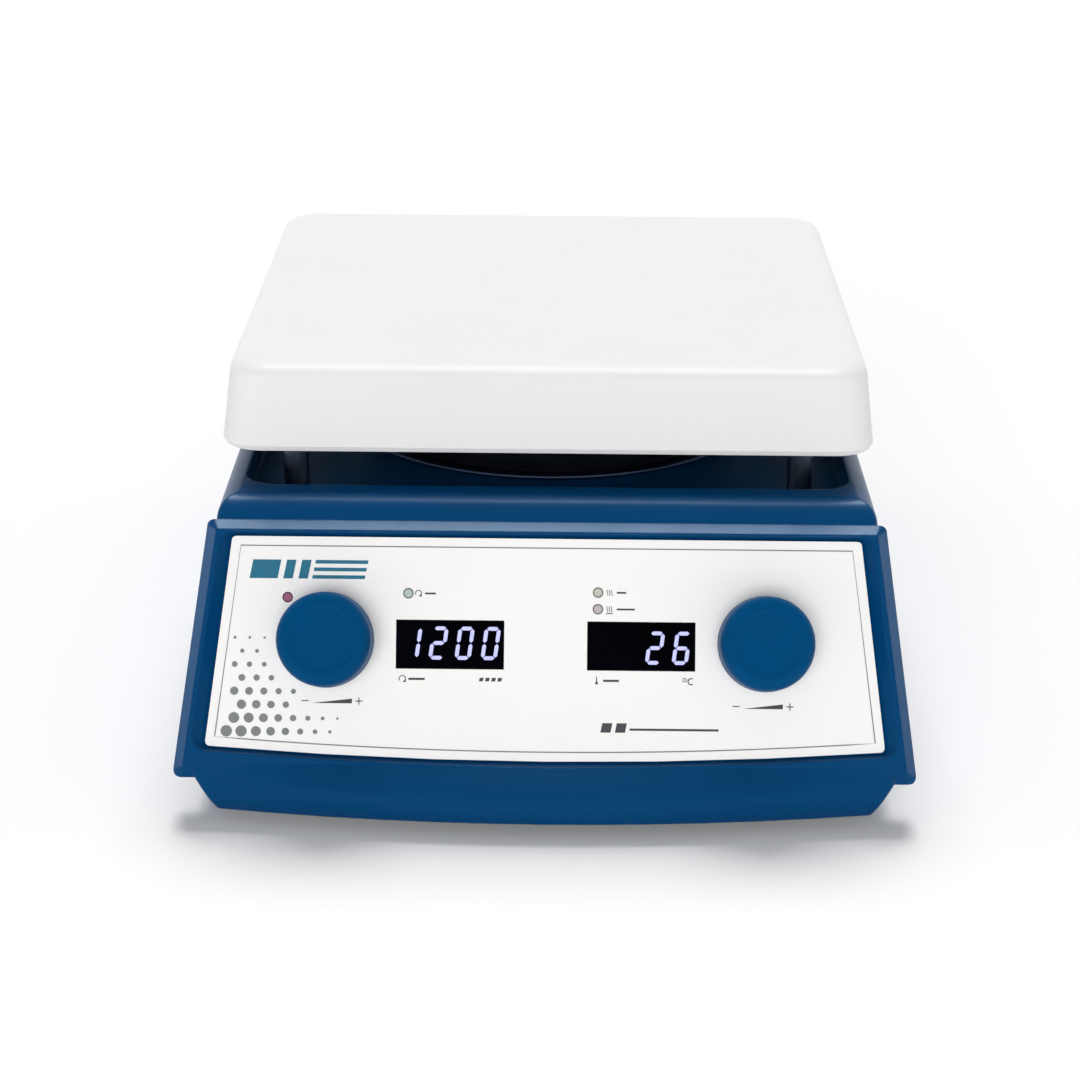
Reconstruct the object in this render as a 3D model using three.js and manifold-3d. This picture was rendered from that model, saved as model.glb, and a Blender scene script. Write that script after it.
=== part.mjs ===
// Hotplate stirrer: a square white heating plate stands on four posts over a cast blue housing with a
// sloped control panel, two push knobs and two number displays. Millimetres, +Z up, front towards -Y,
// origin on the bench under the middle of the body.

import * as THREE from 'three';
import { mergeVertices } from 'three/addons/utils/BufferGeometryUtils.js';
import Module from 'manifold-3d';

const wasm = await Module();
wasm.setup();

// General clearances
const seatGap = 0.3;              // between a piece and the neighbour it seats on or passes through
const overrun = 2;                // how far a cutting tool reaches past the face it opens

// Facets
const planSegments = 12;          // each curve of the housing's plan
const edgeSteps = 8;              // rounded edges
const curveSteps = 6;             // each curve of any other outline
const hexagon = 6;
const sameSpot = 0.003;           // points of an outline nearer than this are one point
const tinyRound = 12;             // screws, lamps and pegs
const smallRound = 16;
const middleRound = 20;
const largeRound = 24;
const motorRound = 32;
const knobRound = 48;
const drumRound = 60;

// Housing casting
const wall = 3;                   // casting wall
const rearWall = 4;               // thicker wall that carries the rear panel
const footStandoff = 4;           // bench to the casting's lower edge
const hipHeight = 14;             // bench to the line where the lower sides tuck in
const rimHeight = 84.3;           // bench to the rim round the deck
const hipFlare = 5.6;             // how much the half width grows from the rim to the hip
const hipTuck = 5.9;              // and how much it shrinks again from the hip to the lower edge
const rimLand = 5.7;              // tray's side to the rim's outer face
const edgeRadius = 5;             // rounding of the rim's outer edge
const rearCornerRadius = 10;      // upright corners at the back
const frontCornerRadius = 2.5;    // upright corners at the front
const frontBow = 7.8;             // how far the nose bows forward in the middle
const leastCornerRadius = 0.5;    // where an inset outline would lose its corner rounding
const panelSetback = 36;          // nose tip to the control panel's top edge
const browDrop = 4.1;             // rim down to the control panel's top edge
const panelIncline = 67;          // degrees from the bench to the control panel
const browRun = 6.5;              // control panel's top edge to the deck's front edge
const noseLipHeight = 18.07;      // bench to the line on the panel where the nose begins
const noseTipHeight = 9;          // bench to the foremost line of the nose
const noseFullness = 1.25;        // above 1, the nose leaves the control panel without a crease
const noseTuck = 1.6;             // how far the nose's lower edge lies behind its tip
const bowEndHeight = 32;          // height at which the nose's bow has faded away inside

// Spill tray sunk into the deck
const trayDepth = 9;
const traySideRun = 13;           // post to the tray's side
const trayFrontLand = 11;         // deck's front edge to the tray
const trayFrontRun = 21.5;        // tray's front edge to the front posts
const trayRearRun = 26.5;         // rear posts to the tray's back edge
const rearLand = 44.9;            // tray's back edge to the casting's rear face
const trayCornerRadius = 9;
const shaftHoleRadius = 12;
const leadHoleRadius = 5;         // hole in the tray floor for the heater's leads
const leadHoleOffset = 44;        // from the middle of the plate, to the right

// Raised cheeks round the control panel and the recess between them
const cheekTopOverhang = 2.9;     // beyond the rim, each side
const cheekBottomOverhang = 5.6;  // beyond the hip, each side
const cheekFootRun = 4.3;         // along the slope, past the line where the nose begins
const cheekDepth = 13;            // square to the panel
const cheekChamfer = 2.9;         // round the cheeks' face
const cheekBackChamfer = 0.8;
const cheekCornerRadius = 2.4;
const recessDepth = 2.6;
const recessFlare = 3.2;          // how much wider the recess is at its mouth than at its floor
const recessLipFlare = 1.2;       // the same at the recess's top and bottom edges
const panelWall = 3;

// Label panel
const cheekTopBand = 7.1;         // width of the cheek beside the label's upper corner
const cheekBottomBand = 8.9;      // and beside its lower corner
const labelTopDrop = 4.7;         // down the slope from the panel's top edge
const labelFootRun = 4.5;         // label's lower corners to the line where the nose begins
const labelBow = 3.4;             // how far the lower edge bows down in the middle
const labelCornerRadius = 1.5;
const labelThickness = 0.8;

// Displays
const displayOffset = 26.5;       // from the middle of the panel, across
const displayDrop = 34.3;         // down the slope from the panel's top edge
const windowWidth = 29.4;
const windowHeight = 13;
const windowThickness = 3;
const moduleDepth = 7.8;
const moduleMargin = 2.2;         // display module beyond its window, each way

// Lamps: across and down the slope from the panel's top edge
const lampRadius = 1.2;
const lampPlaces = {
  lamp_power: [-71.7, 21.6],
  lamp_stirring: [-38.2, 20.2],
  lamp_heating: [14.4, 19.5],
  lamp_hot_plate: [14.4, 24.1],
};

// Knobs and their encoders
const knobOffset = 60.8;          // from the middle of the panel, across
const knobDrop = 33.3;            // down the slope from the panel's top edge
const knobRadius = 13.3;
const knobHeight = 13;
const knobFaceRadius = 9.6;
const knobShoulder = 8.6;         // height of the knob's straight side
const knobDish = 0.4;             // depth of the hollow in the knob's face
const knobDishRun = 0.8;          // width of the slope round that hollow
const knobRunningGap = 0.9;       // knob to label
const pushTravel = 0.5;
const shaftRadius = 2.9;
const shaftReach = 1.7;           // knob face beyond the end of its shaft
const bushingRadius = 3.75;
const nutRadius = 5.6;
const nutThickness = 2;
const bushingProud = 0.4;         // threaded bushing beyond its nut
const nutClearance = 0.9;         // knob's hollow to the nut, all round
const shaftFit = 0.15;            // knob's bore to its shaft
const threadFit = 0.15;           // nut's bore to the bushing
const encoderSize = 13;
const encoderFloor = 0.4;         // closed back of the encoder's bore
const plungerRadius = 2.7;
const plungerThickness = 1;
const plungerPlay = 0.1;

// Control board
const boardThickness = 1.6;
const controlBoardInset = 9.5;    // from the label's upper corners
const controlBoardTopDrop = 9.4;
const controlBoardFootRun = 5.6;  // board's lower edge to the label's lower corners
const standoffRadius = 2.5;
const standoffInset = 4;

// Heating plate
const plateHeight = 25.3;         // working surface to the skirt's lower edge
const plateHalfTop = 90.5;        // half width where the upper edge rounding starts
const skirtDraft = 2.2;           // how much wider the skirt's lower edge is, each side
const plateEdgeRadius = 5;
const plateCornerRadius = 11;
const plateThickness = 6;
const skirtWall = 3.2;
const skirtEdgeRound = 1.5;
const postRadius = 3.6;
const postInset = 14.3;           // skirt's inner face to the middle of a post

// Pack under the plate
const elementInset = 25.5;        // from the plate's side
const elementThickness = 1.2;
const packCornerRadius = 6;
const padMargin = 2;              // insulation pad beyond the element, each side
const padThickness = 8;
const pressureMargin = 2;         // pressure plate beyond the pad, each side
const pressureThickness = 1.5;
const sensorRadius = 3;
const sensorOffset = 30;          // from the middle of the plate, to the left
const drumRadius = 58;
const drumWall = 1.2;
const drumFlange = 4.5;

// Motor and magnet rotor
const motorRadius = 28;
const motorHeight = 34;
const motorBossRadius = 8;
const motorBossHeight = 3;
const motorBoreDepth = 20;
const motorShaftRadius = 3;
const bracketLength = 84;
const bracketWidth = 66;
const bracketThickness = 2.5;
const bracketLegHeight = 5;
const bracketLegRadius = 3.5;
const rotorLift = 5;              // tray floor to the hub of the magnet carrier
const carrierLength = 86;
const carrierWidth = 24;
const carrierEndRadius = 11;
const carrierThickness = 6;
const carrierHubRadius = 11;
const carrierHubHeight = 4;
const pressFit = 0.15;            // carrier's bore to the motor shaft
const magnetRadius = 9;
const magnetThickness = 7;
const magnetInset = 12;           // magnet's middle from the end of the carrier
const magnetAirGap = 3.5;         // magnets to the drum above them

// Bottom plate, feet and screws
const bottomPlateLift = 0.6;      // casting's lower edge to the underside of the plate
const bottomPlateThickness = 1.5;
const footRadius = 9.5;
const footTipRadius = 8;
const footInsetX = 24;            // from the casting's lower side edge
const footInsetY = 30;            // from the nose tip and from the back
const footDimpleRadius = 3;
const footDimpleDepth = 1.5;
const screwRadius = 1.6;
const screwHeadRadius = 3.2;
const screwHeadFace = 2.6;        // radius of the head's flat end
const screwHeadHeight = 1.8;
const screwLength = 10;
const screwHoleDepth = 12;
const screwBossRadius = 4.5;
const screwBossInsetX = 8.8;      // from the casting's lower side edge
const screwBossFrontInset = 48;   // from the nose tip
const screwBossRearInset = 15;    // from the rear wall's outer face
const slotCount = 7;
const slotWidth = 3;
const slotLength = 30;
const slotPitch = 9;

// Rear panel and its fittings
const rearPanelSideInset = 12.7;  // from the rim's outer face, each side
const rearPanelHeight = 52;
const rearPanelThickness = 1.5;
const rearPanelRise = 1.85;       // its middle above the middle of the casting's back
const rearPanelInset = 0.4;       // behind the casting's rear face
const rearLedge = 4;              // width of the ledge that the rear panel seats on
const rearScrewRadius = 1.2;
const rearScrewHeadRadius = 2.1;
const rearScrewHeadHeight = 1.3;
const rearScrewLength = 4;
const ventCount = 6;
const ventWidth = 2.4;
const ventHeight = 24;
const ventPitch = 5;
const ventInset = 18;             // middle of the vents from the panel's edge

const inletPlaceShare = -0.3165;  // from the middle of the rear panel, of the panel's width
const inletFlangeWidth = 31;
const inletFlangeHeight = 46;
const inletFlangeThickness = 3;
const inletBodyWidth = 26.8;
const inletBodyHeight = 41;
const inletBodyDepth = 24;
const socketWidth = 24.2;
const socketHeight = 16.4;
const socketDepth = 16;
const socketChamfer = 4;
const socketRise = 9;             // from the inlet's middle up to the socket's middle
const pinWidth = 2;
const pinBreadth = 4;
const pinLength = 13;
const pinOffset = 7;              // line pins from the socket's middle, across
const pinDrop = 2;                // line pins below the socket's middle
const earthPinRise = 4;           // earth pin above the socket's middle
const drawerWidth = 21;
const drawerHeight = 10;
const drawerDepth = 20;
const drawerDrop = 11.5;          // from the inlet's middle down to the drawer's middle
const drawerFaceInset = 0.4;      // drawer's face behind the flange's face
const drawerNotchHeight = 3;
const drawerNotchDepth = 2;

const switchPlaceShare = -0.0633; // from the middle of the rear panel, of the panel's width
const switchFlangeWidth = 21;
const switchFlangeHeight = 32;
const switchFlangeThickness = 1.6;
const switchBodyWidth = 18.4;
const switchBodyHeight = 28.4;
const switchBodyDepth = 18;
const rockerWidth = 12.6;
const rockerHalfHeight = 11;
const rockerRise = 3;             // rocker's ends above its pivot
const rockerDip = 1.2;            // rocker's middle above its pivot
const rockerRootHalf = 5;
const rockerRootDepth = 6;
const rockerTilt = 8;             // degrees from the middle position
const rockerPivotDepth = 1.6;     // pivot behind the rear panel's outer face
const rockerClearance = 0.8;

const probePlaceShare = 0.1519;   // from the middle of the rear panel, of the panel's width
const probeFlangeRadius = 8.5;
const probeFlangeThickness = 1.8;
const probeBodyRadius = 6.5;
const probeBodyDepth = 16;
const probeBoreRadius = 4.2;
const probeBoreDepth = 11;

// Rod socket in the rear deck
const rodSideInset = 21.7;        // from the rim's outer face
const rodInset = 21;              // from the rear wall's outer face
const rodBushRadius = 8;
const rodBushLength = 20;
const rodFlangeRadius = 11;
const rodFlangeThickness = 1.5;
const rodBoreRadius = 5;
const rodBoreDepth = 17;

// Power board and what stands on it
const powerBoardWidth = 116;
const powerBoardLength = 74;
const powerBoardOffset = -14;     // from the middle, across
const powerBoardGap = 15;         // from the board's back edge to the rear wall's inner face
const pegHeight = 7.9;
const pegRadius = 3;
const pegInset = 5;
const capacitorCount = 3;
const capacitorRadius = 8;
const capacitorHeight = 9;
const capacitorPitch = 18.2;
const capacitorInsetX = 20;
const capacitorInsetY = 14;
const terminalWidth = 26;
const terminalLength = 10;
const terminalHeight = 9;
const terminalOffset = 16;
const coreWidth = 42;
const coreDepth = 20;
const coreHeight = 35;
const coilWidth = 26;
const coilDepth = 36;
const coilHeight = 24;
const transformerInsetX = 26;     // from the board's left edge
const sinkWidth = 40;
const sinkBase = 3;
const sinkFinDepth = 14;
const sinkHeight = 28;
const sinkFinCount = 7;
const sinkFinThickness = 1.4;
const sinkInsetX = 25;            // from the board's right edge
const boardPartInsetY = 22;       // transformer and heat sink from the board's front edge

// Widths worked out from the plate outwards
const plateHalfBottom = plateHalfTop + skirtDraft;
const elementSize = 2 * (plateHalfTop - elementInset);
const postSpacing = 2 * (plateHalfTop - skirtWall - postInset);
const trayHalf = postSpacing / 2 + traySideRun;
const rimHalf = trayHalf + rimLand;
const hipHalf = rimHalf + hipFlare;
const baseHalf = hipHalf - hipTuck;
const cheekTopHalf = rimHalf + cheekTopOverhang;
const cheekBottomHalf = hipHalf + cheekBottomOverhang;
const labelTopHalf = cheekTopHalf - cheekTopBand;
const labelBottomHalf = cheekBottomHalf - cheekBottomBand;
const controlBoardHalf = labelTopHalf - controlBoardInset;
const rearPanelWidth = 2 * (rimHalf - rearPanelSideInset);
const inletOffset = rearPanelWidth * inletPlaceShare;
const switchOffset = rearPanelWidth * switchPlaceShare;
const probeOffset = rearPanelWidth * probePlaceShare;
const ventOffset = rearPanelWidth / 2 - ventInset;
const rodOffset = rimHalf - rodSideInset;

// Places from front to back
const trayLength = trayFrontRun + postSpacing + trayRearRun;
const deckLength = trayFrontLand + trayLength + rearLand;
const bodyLength = panelSetback + browRun + deckLength + inletFlangeThickness - rearPanelInset;
const noseTipY = -bodyLength / 2;
const panelTopY = noseTipY + panelSetback;
const deckFrontY = panelTopY + browRun;
const plateY = deckFrontY + trayFrontLand + trayFrontRun + postSpacing / 2;
const trayY = deckFrontY + trayFrontLand + trayLength / 2;
const rearFace = deckFrontY + deckLength;
const rearPanelFace = rearFace - rearPanelInset;

// Heights
const trayFloor = rimHeight - trayDepth;
const trayUnderside = trayFloor - wall;
const bottomPlateTop = footStandoff + bottomPlateLift + bottomPlateThickness;
const bracketBottom = trayUnderside - bracketLegHeight - bracketThickness;
const motorBottom = bracketBottom - motorHeight;
const carrierBottom = trayFloor + rotorLift + carrierHubHeight;
const carrierTop = carrierBottom + carrierThickness;
const pressureBottom = carrierTop + magnetThickness + magnetAirGap + drumWall;
const padBottom = pressureBottom + pressureThickness;
const elementBottom = padBottom + padThickness;
const plateCeiling = elementBottom + elementThickness;
const plateTopHeight = plateCeiling + plateThickness;
const skirtBottom = plateTopHeight - plateHeight;
const rearPanelCentre = (footStandoff + rimHeight) / 2 + rearPanelRise;

// Distances down the control panel's slope
const incline = THREE.MathUtils.degToRad(panelIncline);
const panelTopHeight = rimHeight - browDrop;
const noseDrop = (panelTopHeight - noseLipHeight) / Math.sin(incline);
const cheekLength = noseDrop + cheekFootRun;
const labelBottomDrop = noseDrop - labelFootRun;
const controlBoardBottomDrop = labelBottomDrop - controlBoardFootRun;

// Levels along the panel's normal, counted outwards from the cheeks' face
const recessFloor = -recessDepth;
const panelBack = recessFloor - panelWall;
const labelBack = recessFloor + seatGap;
const labelFront = labelBack + labelThickness;
const moduleFront = panelBack - seatGap;
const moduleBack = moduleFront - moduleDepth;
const boardFront = moduleBack - seatGap;
const nutBack = labelFront + seatGap;
const nutFront = nutBack + nutThickness;
const knobBack = labelFront + knobRunningGap;
const knobTop = knobBack + knobHeight;
const boreFloor = moduleBack + encoderFloor;
const plungerBack = boreFloor + pushTravel + plungerPlay;
const shaftBack = plungerBack + plungerThickness + seatGap;
const shaftFront = knobTop - shaftReach;

// Materials
const paint = (color, roughness, metalness = 0) => (
  new THREE.MeshStandardMaterial({ color, roughness, metalness })
);
const bluePaint = paint(0x0f4674, 0.42);
const blueKnob = paint(0x0b4b7c, 0.38);
const whiteCoating = paint(0xf1f1f0, 0.35);
const whiteLabel = paint(0xfbfaf8, 0.5);
const darkWindow = paint(0x04060f, 0.15);
const blackPlastic = paint(0x17181a, 0.5);
const rubber = paint(0x1b1b1c, 0.85);
const steel = paint(0xa9acb0, 0.35, 1);
const aluminium = paint(0xc4c7ca, 0.4, 1);
const brass = paint(0xc7a65a, 0.35, 1);
const magnetMetal = paint(0x8d9094, 0.3, 1);
const insulation = paint(0xd8d2c2, 0.9);
const mica = paint(0xb89d6e, 0.6);
const boardGreen = paint(0x1f5a34, 0.5);
const copper = paint(0xb06a3b, 0.4, 1);
const redLamp = paint(0xc2284a, 0.3);
const amberLamp = paint(0xd98a1f, 0.3);
const greenLamp = paint(0x3fae5a, 0.3);

// Solids and booleans
function solidOf(geometry) {
  const bare = geometry.index ? geometry.toNonIndexed() : geometry.clone();
  bare.deleteAttribute('normal');
  bare.deleteAttribute('uv');
  const merged = mergeVertices(bare);
  return new wasm.Manifold(new wasm.Mesh({
    numProp: 3,
    vertProperties: new Float32Array(merged.attributes.position.array),
    triVerts: new Uint32Array(merged.index.array),
  }));
}

function geometryOf(solid) {
  const mesh = solid.getMesh();
  const geometry = new THREE.BufferGeometry();
  geometry.setAttribute('position', new THREE.BufferAttribute(new Float32Array(mesh.vertProperties), 3));
  geometry.setIndex(new THREE.BufferAttribute(new Uint32Array(mesh.triVerts), 1));
  geometry.computeVertexNormals();
  return geometry;
}

const cut = (base, ...tools) => tools.reduce((rest, tool) => rest.subtract(tool), base);
const join = (first, ...others) => others.reduce((sum, other) => sum.add(other), first);

// Directions for outlines drawn flat: the outline's right, its up, and the way it is extruded
const xAxis = new THREE.Vector3(1, 0, 0);
const yAxis = new THREE.Vector3(0, 1, 0);
const zAxis = new THREE.Vector3(0, 0, 1);
const frontView = new THREE.Matrix4().makeBasis(xAxis, zAxis, yAxis.clone().negate());
const sideView = new THREE.Matrix4().makeBasis(yAxis, zAxis, xAxis);
const flatView = new THREE.Matrix4();
const panelView = new THREE.Matrix4()
  .makeTranslation(0, panelTopY, panelTopHeight)
  .multiply(new THREE.Matrix4().makeRotationX(incline));

function extruded(shape, low, high, view = flatView, curveSegments = curveSteps) {
  const options = { depth: high - low, bevelEnabled: false, curveSegments };
  const geometry = new THREE.ExtrudeGeometry(shape, options);
  geometry.translate(0, 0, low);
  return solidOf(geometry.applyMatrix4(view));
}

function block([x0, x1], [y0, y1], [z0, z1], view = flatView) {
  const geometry = new THREE.BoxGeometry(x1 - x0, y1 - y0, z1 - z0);
  geometry.translate((x0 + x1) / 2, (y0 + y1) / 2, (z0 + z1) / 2);
  return solidOf(geometry.applyMatrix4(view));
}

const around = (middle, size) => [middle - size / 2, middle + size / 2];

// A round piece along the outline's own axis, from its list of [radius, height] points
function turned(points, x = 0, y = 0, segments = largeRound, view = flatView) {
  const outline = points.map(([radius, height]) => new THREE.Vector2(radius, height));
  const geometry = new THREE.LatheGeometry(outline, segments);
  geometry.rotateX(Math.PI / 2);
  geometry.translate(x, y, 0);
  return solidOf(geometry.applyMatrix4(view));
}

const rod = (radius, low, high, x = 0, y = 0, segments = largeRound, view = flatView) => (
  turned([[0, low], [radius, low], [radius, high], [0, high]], x, y, segments, view)
);

function roundedRectangle(width, length, radius, x = 0, y = 0) {
  const [left, right] = around(x, width);
  const [front, back] = around(y, length);
  const shape = new THREE.Shape();
  shape.moveTo(left + radius, front);
  shape.lineTo(right - radius, front);
  shape.absarc(right - radius, front + radius, radius, -Math.PI / 2, 0);
  shape.lineTo(right, back - radius);
  shape.absarc(right - radius, back - radius, radius, 0, Math.PI / 2);
  shape.lineTo(left + radius, back);
  shape.absarc(left + radius, back - radius, radius, Math.PI / 2, Math.PI);
  shape.lineTo(left, front + radius);
  shape.absarc(left + radius, front + radius, radius, Math.PI, Math.PI * 1.5);
  return shape;
}

// A closed solid through rings of equally many points, lowest ring first, each counter-clockwise
function loft(rings, view = flatView) {
  const count = rings[0].length;
  const points = rings.flat();
  const triangles = [];
  for (let level = 0; level < rings.length - 1; level += 1) {
    for (let k = 0; k < count; k += 1) {
      const next = (k + 1) % count;
      const a = level * count + k;
      const b = level * count + next;
      triangles.push([a, b, b + count], [a, b + count, a + count]);
    }
  }
  const top = (rings.length - 1) * count;
  for (let k = 1; k < count - 1; k += 1) {
    triangles.push([0, k + 1, k], [top, top + k, top + k + 1]);
  }
  const geometry = new THREE.BufferGeometry();
  geometry.setAttribute('position', new THREE.Float32BufferAttribute(points.flat(), 3));
  geometry.setIndex(triangles.flat());
  return solidOf(geometry.applyMatrix4(view));
}

function ringOf(shape, height, curveSegments = curveSteps) {
  const points = shape.getPoints(curveSegments);
  const last = points[points.length - 1];
  if (last.distanceTo(points[0]) < sameSpot) points.pop();
  if (THREE.ShapeUtils.isClockWise(points)) points.reverse();
  return points.map((point) => [point.x, point.y, height]);
}

// Scene graph
const stirrer = new THREE.Group();
const controlPanel = new THREE.Group();
controlPanel.position.set(0, panelTopY, panelTopHeight);
controlPanel.rotation.x = incline;
stirrer.add(controlPanel);

function addPiece(name, solid, material, parent = stirrer, x = 0, y = 0) {
  const mesh = new THREE.Mesh(geometryOf(solid), material);
  mesh.name = name;
  mesh.position.set(x, y, 0);
  parent.add(mesh);
}

// A point on the control panel: down the slope and out along its normal, as [y, z]
const onPanel = (drop, out) => [
  panelTopY - drop * Math.cos(incline) - out * Math.sin(incline),
  panelTopHeight - drop * Math.sin(incline) + out * Math.cos(incline),
];
const dropAt = (height, out) => (panelTopHeight + out * Math.cos(incline) - height) / Math.sin(incline);
const panelAt = (height, out) => onPanel(dropAt(height, out), out)[0];

// The casting is lofted through its plan at rising heights
const halfAt = (height) => (height < hipHeight
  ? baseHalf + ((hipHalf - baseHalf) * (height - footStandoff)) / (hipHeight - footStandoff)
  : hipHalf + ((rimHalf - hipHalf) * (height - hipHeight)) / (rimHeight - hipHeight));

// The nose in side view: a rounded lip from its tip up and back to a given [y, z]
const lipHeights = ([, topZ]) => Array.from({ length: edgeSteps + 1 }, (_, k) => (
  noseTipHeight + (topZ - noseTipHeight) * Math.sin(((k / edgeSteps) * Math.PI) / 2)
));

function lipShareAt(height, topZ) {
  const rise = THREE.MathUtils.clamp((height - noseTipHeight) / (topZ - noseTipHeight), 0, 1);
  return (1 - rise ** 2) ** noseFullness;
}

const lipAt = (height, tipY, [topY, topZ]) => topY - (topY - tipY) * lipShareAt(height, topZ);

const tuckAt = (height) => noseTuck * ((noseTipHeight - height) / (noseTipHeight - footStandoff)) ** 2;

// The brow in side view: from the back of the cheeks' chamfer up to the deck
const [browFootY, browFootZ] = onPanel(0, -cheekChamfer);

function browAt(height) {
  const s = 1 - Math.sqrt((rimHeight - height) / (rimHeight - browFootZ));
  return browFootY * (1 - s) ** 2 + 2 * deckFrontY * s * (1 - s) + (deckFrontY + edgeRadius) * s ** 2;
}

const outerLip = onPanel(noseDrop, 0);
const innerLip = onPanel(labelBottomDrop + labelBow + wall, panelBack);

function outerFrontAt(height) {
  if (height <= noseTipHeight) return noseTipY + tuckAt(height);
  if (height <= outerLip[1]) return lipAt(height, noseTipY, outerLip);
  if (height > browFootZ) return browAt(height);
  const [lipY, lipZ] = outerLip;
  return lipY + ((browFootY - lipY) * (height - lipZ)) / (browFootZ - lipZ);
}

function innerFrontAt(height) {
  if (height <= noseTipHeight) return noseTipY + wall + tuckAt(Math.max(height, footStandoff));
  if (height <= innerLip[1]) return lipAt(height, noseTipY + wall, innerLip);
  return panelAt(height, panelBack);
}

// The nose bows forward in the middle, less and less further up
const outerBowAt = (height) => frontBow * lipShareAt(height, outerLip[1]);
const innerBowAt = (height) => (
  frontBow * (1 - THREE.MathUtils.clamp((height - hipHeight) / (bowEndHeight - hipHeight), 0, 1))
);

function planOutline(inset, half, front, bow, back = rearFace - inset) {
  const side = half - inset;
  const shoulder = front + bow;
  const corner = Math.max(frontCornerRadius - inset, leastCornerRadius);
  const radius = Math.max(rearCornerRadius - inset, leastCornerRadius);
  const shape = new THREE.Shape();
  shape.moveTo(corner - side, shoulder);
  shape.quadraticCurveTo(0, front - bow, side - corner, shoulder);
  shape.quadraticCurveTo(side, shoulder, side, shoulder + corner);
  shape.lineTo(side, back - radius);
  shape.quadraticCurveTo(side, back, side - radius, back);
  shape.lineTo(radius - side, back);
  shape.quadraticCurveTo(-side, back, -side, back - radius);
  shape.lineTo(-side, shoulder + corner);
  shape.quadraticCurveTo(-side, shoulder, corner - side, shoulder);
  return shape;
}

const outerRing = (inset, height) => {
  const outline = planOutline(inset, halfAt(height), outerFrontAt(height), outerBowAt(height));
  return ringOf(outline, height, planSegments);
};

const innerRing = (height) => {
  const back = rearFace - rearWall;
  const outline = planOutline(wall, halfAt(height), innerFrontAt(height), innerBowAt(height), back);
  return ringOf(outline, height, planSegments);
};

function outerBody() {
  const heights = [footStandoff, (footStandoff + noseTipHeight) / 2, ...lipHeights(outerLip)];
  const rings = heights.map((height) => outerRing(0, height));
  for (let k = 0; k <= edgeSteps; k += 1) {
    const turn = (k / edgeSteps) * (Math.PI / 2);
    rings.push(outerRing(edgeRadius * (1 - Math.cos(turn)), rimHeight - edgeRadius * (1 - Math.sin(turn))));
  }
  return loft(rings);
}

function innerBody() {
  const heights = [
    footStandoff - overrun,
    footStandoff,
    ...lipHeights(innerLip),
    bowEndHeight,
    trayUnderside,
  ];
  return loft(heights.map(innerRing));
}

// A tapered outline on the control panel, wider below, with rounded corners and a bowed lower edge
function panelOutline({ topHalf, bottomHalf, topDrop, bottomDrop, bow, radius }) {
  const shape = new THREE.Shape();
  shape.moveTo(topHalf - radius, -topDrop);
  shape.lineTo(radius - topHalf, -topDrop);
  shape.quadraticCurveTo(-topHalf, -topDrop, -topHalf, -topDrop - radius);
  shape.lineTo(-bottomHalf, radius - bottomDrop);
  shape.quadraticCurveTo(-bottomHalf, -bottomDrop, radius - bottomHalf, -bottomDrop);
  shape.quadraticCurveTo(0, -bottomDrop - 2 * bow, bottomHalf - radius, -bottomDrop);
  shape.quadraticCurveTo(bottomHalf, -bottomDrop, bottomHalf, radius - bottomDrop);
  shape.lineTo(topHalf, -topDrop - radius);
  shape.quadraticCurveTo(topHalf, -topDrop, topHalf - radius, -topDrop);
  return shape;
}

const labelOutline = (grow, lipGrow) => panelOutline({
  topHalf: labelTopHalf + grow,
  bottomHalf: labelBottomHalf + grow,
  topDrop: labelTopDrop - lipGrow,
  bottomDrop: labelBottomDrop + lipGrow,
  bow: labelBow,
  radius: labelCornerRadius + grow,
});

// The cheeks, chamfered round their face and a little round their back
function cheekFrame() {
  const edge = (inset, level) => ringOf(panelOutline({
    topHalf: cheekTopHalf - inset,
    bottomHalf: cheekBottomHalf - inset,
    topDrop: inset,
    bottomDrop: cheekLength - inset,
    bow: 0,
    radius: Math.max(cheekCornerRadius - inset, leastCornerRadius),
  }), level);
  return loft([
    edge(cheekBackChamfer, -cheekDepth),
    edge(0, cheekBackChamfer - cheekDepth),
    edge(0, -cheekChamfer),
    edge(cheekChamfer, 0),
  ], panelView);
}

function labelRecess() {
  const floor = labelOutline(seatGap, seatGap);
  const mouth = labelOutline(seatGap + 2 * recessFlare, seatGap + 2 * recessLipFlare);
  return loft([ringOf(floor, recessFloor), ringOf(mouth, recessDepth)], panelView);
}

const onBothSides = (make) => [-1, 1].map(make);
const knobPlaces = onBothSides((side) => [side * knobOffset, -knobDrop]);
const lampList = Object.values(lampPlaces).map(([across, drop]) => [across, -drop]);

// Cuts through the casting's panel or through the label, past the given levels
function panelOpenings(low, high) {
  const windows = onBothSides((side) => block(
    around(side * displayOffset, windowWidth + 2 * seatGap),
    around(-displayDrop, windowHeight + 2 * seatGap),
    [low, high],
  ));
  const bushings = knobPlaces.map(([x, y]) => rod(bushingRadius + seatGap, low, high, x, y, middleRound));
  const lamps = lampList.map(([x, y]) => rod(lampRadius + seatGap, low, high, x, y, tinyRound));
  return join(...windows, ...bushings, ...lamps);
}

const moved = (solid, view) => solidOf(geometryOf(solid).applyMatrix4(view));

const boardStandoffs = [-1, 1].flatMap((side) => [
  [side * (controlBoardHalf - standoffInset), -(controlBoardTopDrop + standoffInset)],
  [side * (controlBoardHalf - standoffInset), -(controlBoardBottomDrop - standoffInset)],
]);

const screwPlaces = [-1, 1].flatMap((side) => [
  [side * (baseHalf - screwBossInsetX), noseTipY + screwBossFrontInset],
  [side * (baseHalf - screwBossInsetX), rearFace - screwBossRearInset],
]);

const rearScrewPlaces = onBothSides((side) => side * (rearPanelWidth / 2 - rearLedge / 2));
const rodY = rearFace - rodInset;

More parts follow.
